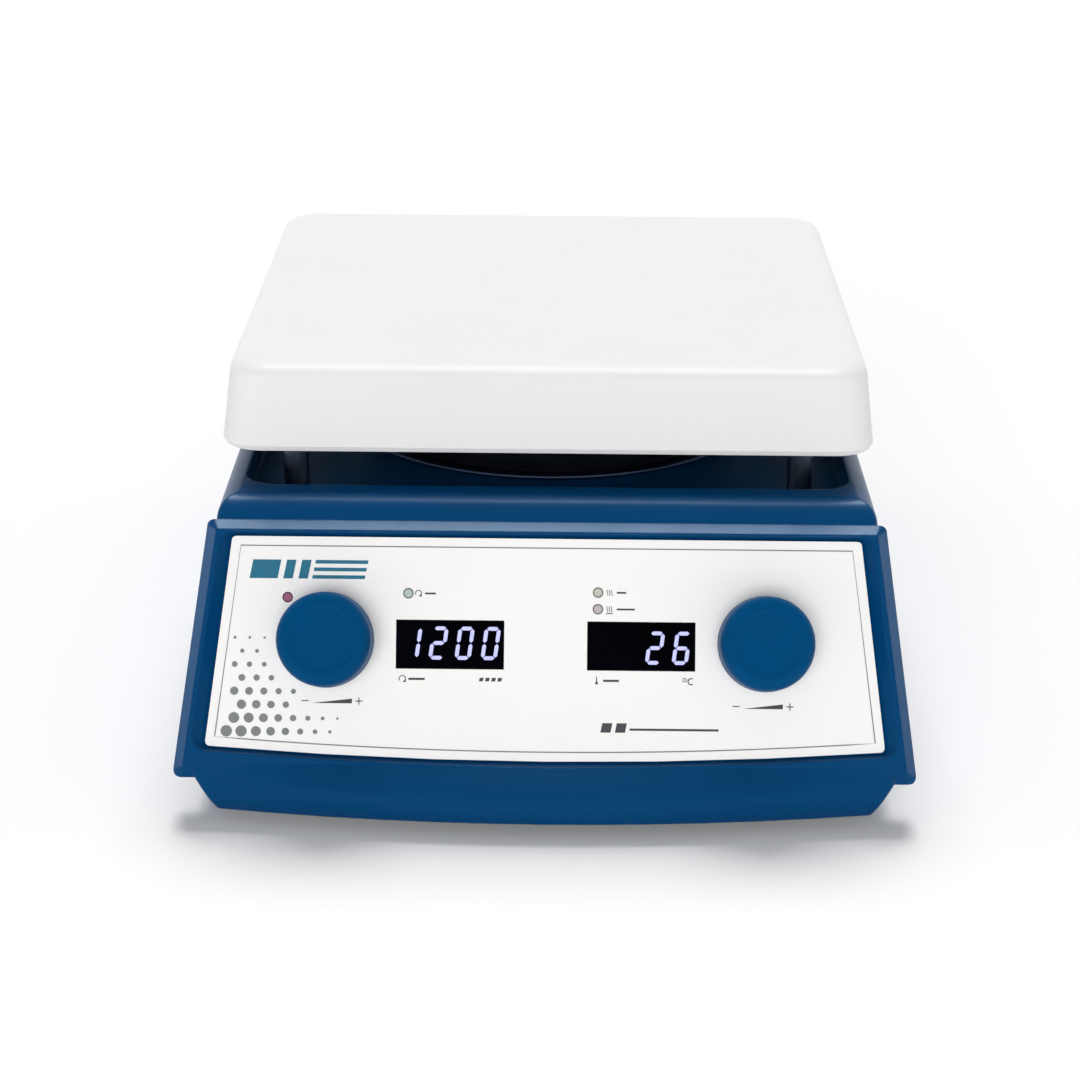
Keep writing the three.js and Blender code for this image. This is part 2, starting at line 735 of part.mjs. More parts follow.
function housing() {
  const rearPocket = block(
    [-trayHalf, trayHalf],
    [trayY + trayLength / 2 + wall, rearFace - rearWall],
    [trayUnderside - overrun, rimHeight - wall],
  );
  const tray = extruded(
    roundedRectangle(2 * trayHalf, trayLength, trayCornerRadius, 0, trayY),
    trayFloor,
    rimHeight + overrun,
  );
  const bosses = screwPlaces.map(([x, y]) => (
    rod(screwBossRadius, bottomPlateTop, trayUnderside + wall / 2, x, y, smallRound)
  ));
  const bossHoles = screwPlaces.map(([x, y]) => (
    rod(screwRadius + seatGap, bottomPlateTop - overrun, bottomPlateTop + screwHoleDepth, x, y, tinyRound)
  ));
  const standoffs = boardStandoffs.map(([x, y]) => (
    rod(standoffRadius, boardFront + seatGap, panelBack + panelWall / 2, x, y, tinyRound, panelView)
  ));
  const deckHoles = [
    rod(shaftHoleRadius, trayUnderside - overrun, trayFloor + overrun, 0, plateY),
    rod(leadHoleRadius, trayUnderside - overrun, trayFloor + overrun, leadHoleOffset, plateY, smallRound),
    rod(rodBushRadius + seatGap, trayUnderside, rimHeight + overrun, rodOffset, rodY),
  ];
  const rebate = block(
    around(0, rearPanelWidth + 2 * seatGap),
    [rearPanelFace - rearPanelThickness, rearFace + overrun],
    around(rearPanelCentre, rearPanelHeight + 2 * seatGap),
  );
  const rearOpening = block(
    around(0, rearPanelWidth - 2 * rearLedge),
    [rearFace - rearWall - overrun, rearFace],
    around(rearPanelCentre, rearPanelHeight - 2 * rearLedge),
  );
  const rearScrewHoles = rearScrewPlaces.map((x) => rod(
    rearScrewRadius + seatGap,
    -rearFace,
    -(rearFace - rearWall - overrun),
    x,
    rearPanelCentre,
    tinyRound,
    frontView,
  ));
  const shell = cut(join(outerBody(), cheekFrame()), innerBody(), rearPocket, tray, labelRecess());
  const openings = moved(panelOpenings(panelBack - overrun, recessFloor + overrun), panelView);
  return cut(
    join(shell, ...bosses, ...standoffs),
    ...bossHoles,
    ...deckHoles,
    openings,
    rebate,
    rearOpening,
    ...rearScrewHoles,
  );
}

// Power board stands on pegs of the bottom plate
const powerBoardY = rearFace - rearWall - powerBoardGap - powerBoardLength / 2;
const powerBoardBottom = bottomPlateTop + pegHeight;
const powerBoardTop = powerBoardBottom + boardThickness;
const pegPlaces = [-1, 1].flatMap((side) => [-1, 1].map((end) => [
  powerBoardOffset + side * (powerBoardWidth / 2 - pegInset),
  powerBoardY + end * (powerBoardLength / 2 - pegInset),
]));
const boardPartY = powerBoardY - powerBoardLength / 2 + boardPartInsetY;

function bottomPlate() {
  const underside = bottomPlateTop - bottomPlateThickness;
  const gap = wall + seatGap + noseTuck;
  const outline = planOutline(gap, baseHalf + noseTuck, noseTipY + gap, frontBow);
  const sheet = extruded(outline, underside, bottomPlateTop, flatView, planSegments);
  const pegs = pegPlaces.map(([x, y]) => (
    rod(pegRadius, underside + bottomPlateThickness / 2, bottomPlateTop + pegHeight, x, y, tinyRound)
  ));
  const holes = screwPlaces.map(([x, y]) => (
    rod(screwRadius + seatGap, 0, bottomPlateTop + overrun, x, y, tinyRound)
  ));
  const slots = [];
  for (let k = 0; k < slotCount; k += 1) {
    const x = (k - (slotCount - 1) / 2) * slotPitch;
    slots.push(block(around(x, slotWidth), around(plateY, slotLength), [0, bottomPlateTop + overrun]));
  }
  return cut(join(sheet, ...pegs), ...holes, ...slots);
}

function powerBoard() {
  const left = powerBoardOffset - powerBoardWidth / 2;
  const back = powerBoardY + powerBoardLength / 2;
  const board = block(
    around(powerBoardOffset, powerBoardWidth),
    around(powerBoardY, powerBoardLength),
    [powerBoardBottom, powerBoardTop],
  );
  const capacitors = Array.from({ length: capacitorCount }, (_, k) => rod(
    capacitorRadius,
    powerBoardBottom,
    powerBoardTop + capacitorHeight,
    left + capacitorInsetX + k * capacitorPitch,
    back - capacitorInsetY,
    smallRound,
  ));
  const terminal = block(
    around(powerBoardOffset + terminalOffset, terminalWidth),
    [back - terminalLength, back],
    [powerBoardBottom, powerBoardTop + terminalHeight],
  );
  return join(board, ...capacitors, terminal);
}

function transformer() {
  const x = powerBoardOffset - powerBoardWidth / 2 + transformerInsetX;
  const core = block(
    around(x, coreWidth),
    around(boardPartY, coreDepth),
    [powerBoardTop, powerBoardTop + coreHeight],
  );
  const coilRise = (coreHeight - coilHeight) / 2;
  const coil = block(
    around(x, coilWidth),
    around(boardPartY, coilDepth),
    [powerBoardTop + coilRise, powerBoardTop + coilRise + coilHeight],
  );
  return join(core, coil);
}

function heatSink() {
  const x = powerBoardOffset + powerBoardWidth / 2 - sinkInsetX;
  const fins = [];
  for (let k = 0; k < sinkFinCount; k += 1) {
    const finX = x + (k / (sinkFinCount - 1) - 1 / 2) * (sinkWidth - sinkFinThickness);
    fins.push(block(
      around(finX, sinkFinThickness),
      [boardPartY, boardPartY + sinkBase + sinkFinDepth],
      [powerBoardTop, powerBoardTop + sinkHeight],
    ));
  }
  const base = block(
    around(x, sinkWidth),
    [boardPartY, boardPartY + sinkBase],
    [powerBoardTop, powerBoardTop + sinkHeight],
  );
  return join(base, ...fins);
}

function foot() {
  const height = footStandoff + bottomPlateLift;
  return turned([
    [0, footDimpleDepth],
    [footDimpleRadius, footDimpleDepth],
    [footDimpleRadius, 0],
    [footTipRadius, 0],
    [footRadius, height],
    [0, height],
  ]);
}

function bottomScrew() {
  const seat = footStandoff + bottomPlateLift;
  return turned([
    [0, seat - screwHeadHeight],
    [screwHeadFace, seat - screwHeadHeight],
    [screwHeadRadius, seat - screwHeadHeight / 2],
    [screwHeadRadius, seat],
    [screwRadius, seat],
    [screwRadius, seat + screwLength],
    [0, seat + screwLength],
  ], 0, 0, smallRound);
}

// Heating plate: an inverted tray with a drafted skirt
function plateRing(half, radius, height) {
  return ringOf(roundedRectangle(2 * half, 2 * half, radius), height);
}

function heatingPlate() {
  const rings = [
    plateRing(plateHalfBottom - skirtEdgeRound / 2, plateCornerRadius, skirtBottom),
    plateRing(plateHalfBottom, plateCornerRadius, skirtBottom + skirtEdgeRound),
  ];
  for (let k = 0; k <= edgeSteps; k += 1) {
    const turn = (k / edgeSteps) * (Math.PI / 2);
    const inset = plateEdgeRadius * (1 - Math.cos(turn));
    rings.push(plateRing(
      plateHalfTop - inset,
      plateCornerRadius - inset,
      plateTopHeight - plateEdgeRadius * (1 - Math.sin(turn)),
    ));
  }
  const innerRadius = plateCornerRadius - skirtWall;
  const hollow = loft([
    plateRing(plateHalfBottom - skirtWall, innerRadius, skirtBottom - overrun),
    plateRing(plateHalfTop - skirtWall, innerRadius, plateCeiling),
  ]);
  return cut(loft(rings), hollow);
}

const postPlaces = [-1, 1].flatMap((side) => [-1, 1].map((end) => [
  (side * postSpacing) / 2,
  plateY + (end * postSpacing) / 2,
]));

const packSheet = (size, low, high) => extruded(roundedRectangle(size, size, packCornerRadius), low, high);
const sensorHole = rod(
  sensorRadius + seatGap,
  padBottom - overrun,
  plateCeiling + overrun,
  -sensorOffset,
  0,
  smallRound,
);

function heatShieldDrum() {
  return turned([
    [0, pressureBottom - drumWall],
    [drumRadius - drumWall, pressureBottom - drumWall],
    [drumRadius - drumWall, trayFloor],
    [drumRadius + drumFlange, trayFloor],
    [drumRadius + drumFlange, trayFloor + drumWall],
    [drumRadius, trayFloor + drumWall],
    [drumRadius, pressureBottom],
    [0, pressureBottom],
  ], 0, 0, drumRound);
}

function motorBracket() {
  const plate = block(
    around(0, bracketLength),
    around(0, bracketWidth),
    [bracketBottom, bracketBottom + bracketThickness],
  );
  const legs = [-1, 1].flatMap((side) => [-1, 1].map((end) => rod(
    bracketLegRadius,
    bracketBottom,
    trayUnderside,
    side * (bracketLength / 2 - bracketLegRadius),
    end * (bracketWidth / 2 - bracketLegRadius),
    tinyRound,
  )));
  return cut(join(plate, ...legs), rod(motorBossRadius + seatGap, bracketBottom - overrun, trayUnderside));
}

function driveMotor() {
  const top = bracketBottom + motorBossHeight;
  const bore = motorShaftRadius + seatGap;
  return turned([
    [0, motorBottom - motorBossHeight],
    [motorBossRadius, motorBottom - motorBossHeight],
    [motorBossRadius, motorBottom],
    [motorRadius, motorBottom],
    [motorRadius, bracketBottom],
    [motorBossRadius, bracketBottom],
    [motorBossRadius, top],
    [bore, top],
    [bore, top - motorBoreDepth],
    [0, top - motorBoreDepth],
  ], 0, 0, motorRound);
}

const motorShaft = () => rod(
  motorShaftRadius,
  bracketBottom + motorBossHeight - motorBoreDepth + seatGap,
  carrierTop,
  0,
  0,
  smallRound,
);

function magnetCarrier() {
  const outline = roundedRectangle(carrierLength, carrierWidth, carrierEndRadius);
  const bar = extruded(outline, carrierBottom, carrierTop);
  const hub = rod(carrierHubRadius, carrierBottom - carrierHubHeight, carrierTop);
  const bore = rod(motorShaftRadius + pressFit, 0, carrierTop + overrun, 0, 0, smallRound);
  return cut(join(bar, hub), bore);
}

const magnetPlaces = onBothSides((side) => [side * (carrierLength / 2 - magnetInset), 0]);

// Rear panel: outwards is the outline's extruded direction turned back, so depths are given along -Y
const rearDepth = (y) => -y;
const rearBlock = (across, up, [inner, outer]) => (
  block(across, up, [rearDepth(outer), rearDepth(inner)], frontView)
);
const rearRod = (radius, [inner, outer], x, z, segments = middleRound) => (
  rod(radius, rearDepth(outer), rearDepth(inner), x, z, segments, frontView)
);
const rearPanelBack = rearPanelFace - rearPanelThickness;

function rearPanel() {
  const plate = rearBlock(
    around(0, rearPanelWidth),
    around(rearPanelCentre, rearPanelHeight),
    [rearPanelBack, rearPanelFace],
  );
  const through = [rearPanelBack - overrun, rearPanelFace + overrun];
  const inletHole = rearBlock(
    around(inletOffset, inletBodyWidth + 2 * seatGap),
    around(rearPanelCentre, inletBodyHeight + 2 * seatGap),
    through,
  );
  const switchHole = rearBlock(
    around(switchOffset, switchBodyWidth + 2 * seatGap),
    around(rearPanelCentre, switchBodyHeight + 2 * seatGap),
    through,
  );
  const probeHole = rearRod(probeBodyRadius + seatGap, through, probeOffset, rearPanelCentre);
  const screwHoles = rearScrewPlaces.map((x) => (
    rearRod(rearScrewRadius + seatGap, through, x, rearPanelCentre, tinyRound)
  ));
  const vents = [];
  for (let k = 0; k < ventCount; k += 1) {
    const x = ventOffset - (k - (ventCount - 1) / 2) * ventPitch;
    vents.push(rearBlock(around(x, ventWidth), around(rearPanelCentre, ventHeight), through));
  }
  return cut(plate, inletHole, switchHole, probeHole, ...screwHoles, ...vents);
}

function rearScrew(x) {
  const headSpan = [rearPanelFace, rearPanelFace + rearScrewHeadHeight];
  const shankSpan = [rearPanelFace - rearScrewLength, rearPanelFace + seatGap];
  const head = rearRod(rearScrewHeadRadius, headSpan, x, rearPanelCentre, smallRound);
  const shank = rearRod(rearScrewRadius, shankSpan, x, rearPanelCentre, tinyRound);
  return join(head, shank);
}

const inletFace = rearPanelFace + inletFlangeThickness;
const socketZ = rearPanelCentre + socketRise;
const drawerZ = rearPanelCentre - drawerDrop;

function mainsInlet() {
  const flange = rearBlock(
    around(inletOffset, inletFlangeWidth),
    around(rearPanelCentre, inletFlangeHeight),
    [rearPanelFace, inletFace],
  );
  const body = rearBlock(
    around(inletOffset, inletBodyWidth),
    around(rearPanelCentre, inletBodyHeight),
    [rearPanelFace - inletBodyDepth, inletFace - overrun],
  );
  const socket = extruded(
    socketOutline(),
    rearDepth(inletFace + overrun),
    rearDepth(inletFace - socketDepth),
    frontView,
  );
  const pins = [[-pinOffset, -pinDrop], [pinOffset, -pinDrop], [0, earthPinRise]].map(([x, z]) => rearBlock(
    around(inletOffset + x, pinWidth),
    around(socketZ + z, pinBreadth),
    [inletFace - socketDepth - overrun, inletFace - socketDepth + pinLength],
  ));
  const bay = rearBlock(
    around(inletOffset, drawerWidth + 2 * seatGap),
    around(drawerZ, drawerHeight + 2 * seatGap),
    [inletFace - drawerFaceInset - drawerDepth - seatGap, inletFace + overrun],
  );
  return join(cut(join(flange, body), socket, bay), ...pins);
}

function socketOutline() {
  const [left, right] = around(inletOffset, socketWidth);
  const [low, high] = around(socketZ, socketHeight);
  const shape = new THREE.Shape();
  shape.moveTo(left, low);
  shape.lineTo(right, low);
  shape.lineTo(right, high - socketChamfer);
  shape.lineTo(right - socketChamfer, high);
  shape.lineTo(left + socketChamfer, high);
  shape.lineTo(left, high - socketChamfer);
  return shape;
}

function fuseDrawer() {
  const face = inletFace - drawerFaceInset;
  const drawer = rearBlock(
    around(inletOffset, drawerWidth),
    around(drawerZ, drawerHeight),
    [face - drawerDepth, face],
  );
  const notch = rearBlock(
    around(inletOffset, drawerWidth / 2),
    [drawerZ + drawerHeight / 2 - drawerNotchHeight, drawerZ + drawerHeight / 2 + overrun],
    [face - drawerNotchDepth, face + overrun],
  );
  return cut(drawer, notch);
}

const rockerWellHalf = rockerHalfHeight + rockerClearance;
const rockerPivotY = rearPanelFace - rockerPivotDepth;

function powerSwitchFrame() {
  const flange = rearBlock(
    around(switchOffset, switchFlangeWidth),
    around(rearPanelCentre, switchFlangeHeight),
    [rearPanelFace, rearPanelFace + switchFlangeThickness],
  );
  const body = rearBlock(
    around(switchOffset, switchBodyWidth),
    around(rearPanelCentre, switchBodyHeight),
    [rearPanelFace - switchBodyDepth, rearPanelFace + switchFlangeThickness / 2],
  );
  const well = rearBlock(
    around(switchOffset, rockerWidth + 2 * seatGap),
    around(rearPanelCentre, 2 * rockerWellHalf),
    [rockerPivotY - rockerRootDepth - rockerClearance, rearPanelFace + switchFlangeThickness + overrun],
  );
  return cut(join(flange, body), well);
}

// The rocker's outline is drawn about its pivot and tilted to its resting side
function powerRocker() {
  const tilt = THREE.MathUtils.degToRad(rockerTilt);
  const outline = [
    [-rockerRootDepth, -rockerRootHalf],
    [-rockerRootDepth, rockerRootHalf],
    [0, rockerHalfHeight],
    [rockerRise, rockerHalfHeight],
    [rockerDip, 0],
    [rockerRise, -rockerHalfHeight],
    [0, -rockerHalfHeight],
  ];
  const pivot = new THREE.Vector2(rockerPivotY, rearPanelCentre);
  const shape = new THREE.Shape(outline.map(([out, up]) => (
    new THREE.Vector2(out, up).rotateAround(new THREE.Vector2(), tilt).add(pivot)
  )));
  const [left, right] = around(switchOffset, rockerWidth);
  return extruded(shape, left, right, sideView);
}

const probeView = new THREE.Matrix4()
  .makeTranslation(probeOffset, rearPanelFace, rearPanelCentre)
  .multiply(new THREE.Matrix4().makeRotationX(-Math.PI / 2));

function probeSocket() {
  return turned([
    [0, -probeBodyDepth],
    [probeBodyRadius, -probeBodyDepth],
    [probeBodyRadius, 0],
    [probeFlangeRadius, 0],
    [probeFlangeRadius, probeFlangeThickness],
    [probeBoreRadius, probeFlangeThickness],
    [probeBoreRadius, probeFlangeThickness - probeBoreDepth],
    [0, probeFlangeThickness - probeBoreDepth],
  ], 0, 0, middleRound, probeView);
}

function rodSocket() {
  return turned([
    [0, rimHeight - rodBushLength],
    [rodBushRadius, rimHeight - rodBushLength],
    [rodBushRadius, rimHeight],
    [rodFlangeRadius, rimHeight],
    [rodFlangeRadius, rimHeight + rodFlangeThickness],
    [rodBoreRadius, rimHeight + rodFlangeThickness],
    [rodBoreRadius, rimHeight + rodFlangeThickness - rodBoreDepth],
    [0, rimHeight + rodFlangeThickness - rodBoreDepth],
  ]);
}

// Pieces in the control panel's own frame: across, up the slope, out along its normal
function labelPanel() {
  const sheet = extruded(labelOutline(0, 0), labelBack, labelFront);
  return cut(sheet, panelOpenings(labelBack - overrun, labelFront + overrun));
}

function controlBoard() {
  return block(
    [-controlBoardHalf, controlBoardHalf],
    [-controlBoardBottomDrop, -controlBoardTopDrop],
    [boardFront - boardThickness, boardFront],
  );
}

function encoderBody() {
  const body = block(around(0, encoderSize), around(0, encoderSize), [moduleBack, moduleFront]);
  const bushing = rod(bushingRadius, moduleFront - panelWall, nutFront + bushingProud, 0, 0, middleRound);
  const bore = rod(shaftRadius + seatGap, boreFloor, nutFront + overrun, 0, 0, middleRound);
  return cut(join(body, bushing), bore);
}

function encoderNut() {
  const nut = rod(nutRadius, nutBack, nutFront, 0, 0, hexagon);
  const thread = rod(bushingRadius + threadFit, nutBack - overrun, nutFront + overrun, 0, 0, middleRound);
  return cut(nut, thread);
}

function knob() {
  const recessRadius = nutRadius + nutClearance;
  const recessTop = nutFront + bushingProud + pushTravel + seatGap;
  const bore = shaftRadius + shaftFit;
  const shoulder = knobBack + knobShoulder;
  const outline = [
    [0, knobTop - knobDish],
    [knobFaceRadius - knobDishRun, knobTop - knobDish],
  ];
  for (let k = 0; k <= curveSteps; k += 1) {
    const turn = (k / curveSteps) * (Math.PI / 2);
    outline.push([
      knobFaceRadius + (knobRadius - knobFaceRadius) * Math.sin(turn),
      shoulder + (knobTop - shoulder) * Math.cos(turn),
    ]);
  }
  outline.push(
    [knobRadius, knobBack],
    [recessRadius, knobBack],
    [recessRadius, recessTop],
    [bore, recessTop],
    [bore, shaftFront + seatGap],
    [0, shaftFront + seatGap],
  );
  return turned(outline.reverse(), 0, 0, knobRound);
}

// Assembly
addPiece('housing', housing(), bluePaint);
addPiece('bottom_plate', bottomPlate(), steel);
const footPlaces = {
  foot_front_left: [-(baseHalf - footInsetX), noseTipY + footInsetY],
  foot_front_right: [baseHalf - footInsetX, noseTipY + footInsetY],
  foot_rear_left: [-(baseHalf - footInsetX), rearFace - footInsetY],
  foot_rear_right: [baseHalf - footInsetX, rearFace - footInsetY],
};
Object.entries(footPlaces).forEach(([name, [x, y]]) => addPiece(name, foot(), rubber, stirrer, x, y));
screwPlaces.forEach(([x, y], k) => addPiece(`bottom_screw_${k + 1}`, bottomScrew(), steel, stirrer, x, y));

addPiece('heating_plate', heatingPlate(), whiteCoating, stirrer, 0, plateY);
const padSize = elementSize + 2 * padMargin;
const element = packSheet(elementSize, elementBottom, plateCeiling).subtract(sensorHole);
const pad = packSheet(padSize, padBottom, elementBottom).subtract(sensorHole);
const pressurePlate = packSheet(padSize + 2 * pressureMargin, pressureBottom, padBottom);
const sensor = rod(sensorRadius, padBottom, plateCeiling, 0, 0, smallRound);
addPiece('heating_element', element, mica, stirrer, 0, plateY);
addPiece('insulation_pad', pad, insulation, stirrer, 0, plateY);
addPiece('pressure_plate', pressurePlate, steel, stirrer, 0, plateY);
addPiece('plate_sensor', sensor, steel, stirrer, -sensorOffset, plateY);
addPiece('heat_shield_drum', heatShieldDrum(), aluminium, stirrer, 0, plateY);
postPlaces.forEach(([x, y], k) => (
  addPiece(`plate_post_${k + 1}`, rod(postRadius, trayFloor, plateCeiling), steel, stirrer, x, y)
));

addPiece('motor_bracket', motorBracket(), steel, stirrer, 0, plateY);
addPiece('drive_motor', driveMotor(), steel, stirrer, 0, plateY);
addPiece('motor_shaft', motorShaft(), steel, stirrer, 0, plateY);
addPiece('magnet_carrier', magnetCarrier(), aluminium, stirrer, 0, plateY);
magnetPlaces.forEach(([x, y], k) => addPiece(
  `drive_magnet_${k + 1}`,
  rod(magnetRadius, carrierTop, carrierTop + magnetThickness),
  magnetMetal,
  stirrer,
  x,
  plateY + y,
));

addPiece('power_board', powerBoard(), boardGreen);
addPiece('transformer', transformer(), copper);
addPiece('heat_sink', heatSink(), aluminium);
addPiece('rear_panel', rearPanel(), steel);
rearScrewPlaces.forEach((x, k) => addPiece(`rear_screw_${k + 1}`, rearScrew(x), steel));
addPiece('mains_inlet', mainsInlet(), blackPlastic);
addPiece('fuse_drawer', fuseDrawer(), blackPlastic);
addPiece('power_switch_frame', powerSwitchFrame(), blackPlastic);
addPiece('power_rocker', powerRocker(), blackPlastic);
addPiece('probe_socket', probeSocket(), brass);
addPiece('rod_socket', rodSocket(), steel, stirrer, rodOffset, rodY);

addPiece('label_panel', labelPanel(), whiteLabel, controlPanel);
addPiece('control_board', controlBoard(), boardGreen, controlPanel);
['left', 'right'].forEach((side, k) => {
  const x = (2 * k - 1) * displayOffset;
  const window = block(
    around(0, windowWidth),
    around(0, windowHeight),
    [labelFront - windowThickness, labelFront],
  );
  const module = block(
    around(0, windowWidth + 2 * moduleMargin),
    around(0, windowHeight + 2 * moduleMargin),
    [moduleBack, moduleFront],
  );
  addPiece(`display_window_${side}`, window, darkWindow, controlPanel, x, -displayDrop);
  addPiece(`display_module_${side}`, module, blackPlastic, controlPanel, x, -displayDrop);
});
const lampMaterials = {
  lamp_power: redLamp,
  lamp_stirring: greenLamp,
  lamp_heating: amberLamp,
  lamp_hot_plate: redLamp,
};
Object.entries(lampPlaces).forEach(([name, [across, drop]]) => {
  const lamp = rod(lampRadius, moduleBack, labelFront, 0, 0, tinyRound);
  addPiece(name, lamp, lampMaterials[name], controlPanel, across, -drop);
});
['speed', 'heat'].forEach((use, k) => {
  const [x, y] = knobPlaces[k];
  const plunger = rod(plungerRadius, plungerBack, plungerBack + plungerThickness, 0, 0, smallRound);
  const shaft = rod(shaftRadius, shaftBack, shaftFront, 0, 0, middleRound);
  addPiece(`${use}_encoder`, encoderBody(), blackPlastic, controlPanel, x, y);
  addPiece(`${use}_encoder_nut`, encoderNut(), brass, controlPanel, x, y);
  addPiece(`${use}_plunger`, plunger, blackPlastic, controlPanel, x, y);
  addPiece(`${use}_encoder_shaft`, shaft, steel, controlPanel, x, y);
  addPiece(`${use}_knob`, knob(), blueKnob, controlPanel, x, y);
});

export default stirrer;
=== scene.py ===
# Looks of the hotplate stirrer: finer shapes, printed marks, lit digits and procedural materials,
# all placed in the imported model's own frame. Lengths are in millimetres and scaled by MM.
import math

import bmesh
import bpy
from mathutils import Matrix, Vector

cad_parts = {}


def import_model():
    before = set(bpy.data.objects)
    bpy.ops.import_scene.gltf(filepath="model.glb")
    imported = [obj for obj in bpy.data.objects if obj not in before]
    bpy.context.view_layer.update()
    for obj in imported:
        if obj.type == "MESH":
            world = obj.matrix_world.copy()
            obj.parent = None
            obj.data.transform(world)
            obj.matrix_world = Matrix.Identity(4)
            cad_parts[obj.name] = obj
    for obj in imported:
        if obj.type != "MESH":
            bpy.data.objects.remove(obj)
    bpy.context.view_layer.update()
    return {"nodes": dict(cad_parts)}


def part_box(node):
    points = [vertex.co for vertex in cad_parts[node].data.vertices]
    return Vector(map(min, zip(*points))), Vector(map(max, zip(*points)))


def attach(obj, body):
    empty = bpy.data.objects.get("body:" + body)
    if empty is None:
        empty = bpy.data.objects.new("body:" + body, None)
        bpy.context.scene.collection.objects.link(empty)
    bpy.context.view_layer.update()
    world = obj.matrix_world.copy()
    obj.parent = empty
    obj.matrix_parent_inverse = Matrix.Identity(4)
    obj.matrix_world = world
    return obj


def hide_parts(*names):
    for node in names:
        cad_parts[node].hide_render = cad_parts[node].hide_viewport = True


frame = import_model()
MM = 0.001
scene = bpy.context.scene
nodes = frame["nodes"]


# Colours are written as they should look on screen and turned into linear light here
def srgb(red, green, blue):
    def linear(value):
        share = value / 255
        return share / 12.92 if share <= 0.04045 else ((share + 0.055) / 1.055) ** 2.4
    return (linear(red), linear(green), linear(blue), 1.0)


# Node helpers: in the names of values, _ stands for the space in a socket's name
def set_inputs(node, **values):
    for name, value in values.items():
        node.inputs[name.replace("_", " ")].default_value = value


def add_node(tree, kind, **values):
    node = tree.nodes.new(kind)
    set_inputs(node, **values)
    return node


# Materials
NOISE_LOW, NOISE_HIGH = 0.3, 0.7    # the part of its range that a noise mostly fills
DRIFT_SCALE, GLOSS_SCALE, PEEL_SCALE = 26.0, 90.0, 420.0    # noises that all coatings share


class Shader:
    """A material under construction: its principled shader and short ways to add nodes. Noise
    scales are per metre of the piece's own coordinates."""

    def __init__(self, name):
        self.material = bpy.data.materials.new(name)
        self.material.use_nodes = True
        self.tree = self.material.node_tree
        self.shader = self.tree.nodes["Principled BSDF"]
        self.place = self.add("ShaderNodeTexCoord").outputs["Object"]

    def add(self, kind, **values):
        return add_node(self.tree, kind, **values)

    def link(self, source, target):
        self.tree.links.new(source, target)

    def set(self, **values):
        set_inputs(self.shader, **values)

    def noise(self, scale, detail=3.0, roughness=0.55, stretch=None):
        node = self.add("ShaderNodeTexNoise", Scale=scale, Detail=detail, Roughness=roughness)
        place = self.place
        if stretch:
            mapping = self.add("ShaderNodeMapping", Scale=stretch)
            self.link(place, mapping.inputs["Vector"])
            place = mapping.outputs["Vector"]
        self.link(place, node.inputs["Vector"])
        return node.outputs["Fac"]

    def ramp(self, source, dark, light, low=NOISE_LOW, high=NOISE_HIGH):
        """Colour that runs from dark to light while the source goes from low to high."""
        node = self.add("ShaderNodeValToRGB")
        stops = zip(node.color_ramp.elements, (low, high), (dark, light))
        for element, position, colour in stops:
            element.position = position
            element.color = colour
        self.link(source, node.inputs["Fac"])
        return node.outputs["Color"]

    def drift(self, source, colour, share):
        """Base colour that goes a share darker and a share lighter with the source."""
        dark = tuple(c * (1 - share) for c in colour[:3]) + (1.0,)
        light = tuple(min(1.0, c * (1 + share)) for c in colour[:3]) + (1.0,)
        self.link(self.ramp(source, dark, light), self.shader.inputs["Base Color"])

    def gloss(self, source, roughness, spread):
        """Roughness that goes below and above its mean with the source."""
        node = self.add("ShaderNodeMapRange", From_Min=NOISE_LOW, From_Max=NOISE_HIGH,
                        To_Min=roughness - spread, To_Max=roughness + spread)
        self.link(source, node.inputs["Value"])
        self.link(node.outputs["Result"], self.shader.inputs["Roughness"])

    def bump(self, height, depth, below=None):
        """Normal of a relief that is laid over the normal below."""
        node = self.add("ShaderNodeBump", Distance=depth * MM, Strength=1.0)
        self.link(height, node.inputs["Height"])
        if below is not None:
            self.link(below, node.inputs["Normal"])
        return node.outputs["Normal"]

    def rounded_edges(self, radius):
        node = self.add("ShaderNodeBevel", Radius=radius * MM)
        node.samples = 6
        return node.outputs["Normal"]

    def relief(self, normal):
        self.link(normal, self.shader.inputs["Normal"])


def coated(name, colour, roughness, drift=0.05, grain=0.03, grain_scale=1400.0, peel=0.0,
           edge=0.0, spread=0.06, metallic=0.0, coat=0.0, specular=0.5, tint=(1.0, 1.0, 1.0)):
    """Paint, enamel, film or moulded plastic: slow colour drift, uneven gloss, fine grain and
    soft edges. Grain and peel are depths, edge is a radius."""
    s = Shader(name)
    s.drift(s.noise(DRIFT_SCALE, 4.0), colour, drift)
    s.gloss(s.noise(GLOSS_SCALE, 5.0), roughness, spread)
    normal = s.rounded_edges(edge) if edge else None
    if peel:
        normal = s.bump(s.noise(PEEL_SCALE, 2.0), peel, below=normal)
    s.relief(s.bump(s.noise(grain_scale, 4.0, 0.65), grain, below=normal))
    s.set(Metallic=metallic, Specular_IOR_Level=specular, Specular_Tint=(*tint, 1.0))
    if coat:
        s.set(Coat_Weight=coat, Coat_Roughness=0.12)
    return s.material


def brushed(name, colour, roughness, stretch=(40.0, 40.0, 1600.0), depth=0.02):
    """Bare metal with fine lines along its turning or rolling direction."""
    s = Shader(name)
    lines = s.noise(1.0, 4.0, 0.6, stretch)
    s.drift(lines, colour, 0.12)
    s.gloss(lines, roughness, 0.09)
    s.relief(s.bump(lines, depth, below=s.rounded_edges(0.2)))
    s.set(Metallic=1.0)
    return s.material


def lamp_material(name, colour, glow=0.0):
    """Small moulded lamp cap, lit from inside where it glows."""
    s = Shader(name)
    s.drift(s.noise(1500.0), colour, 0.1)
    s.relief(s.rounded_edges(0.3))
    s.set(Roughness=0.22, Emission_Color=colour, Emission_Strength=glow, Subsurface_Weight=0.2)
    return s.material


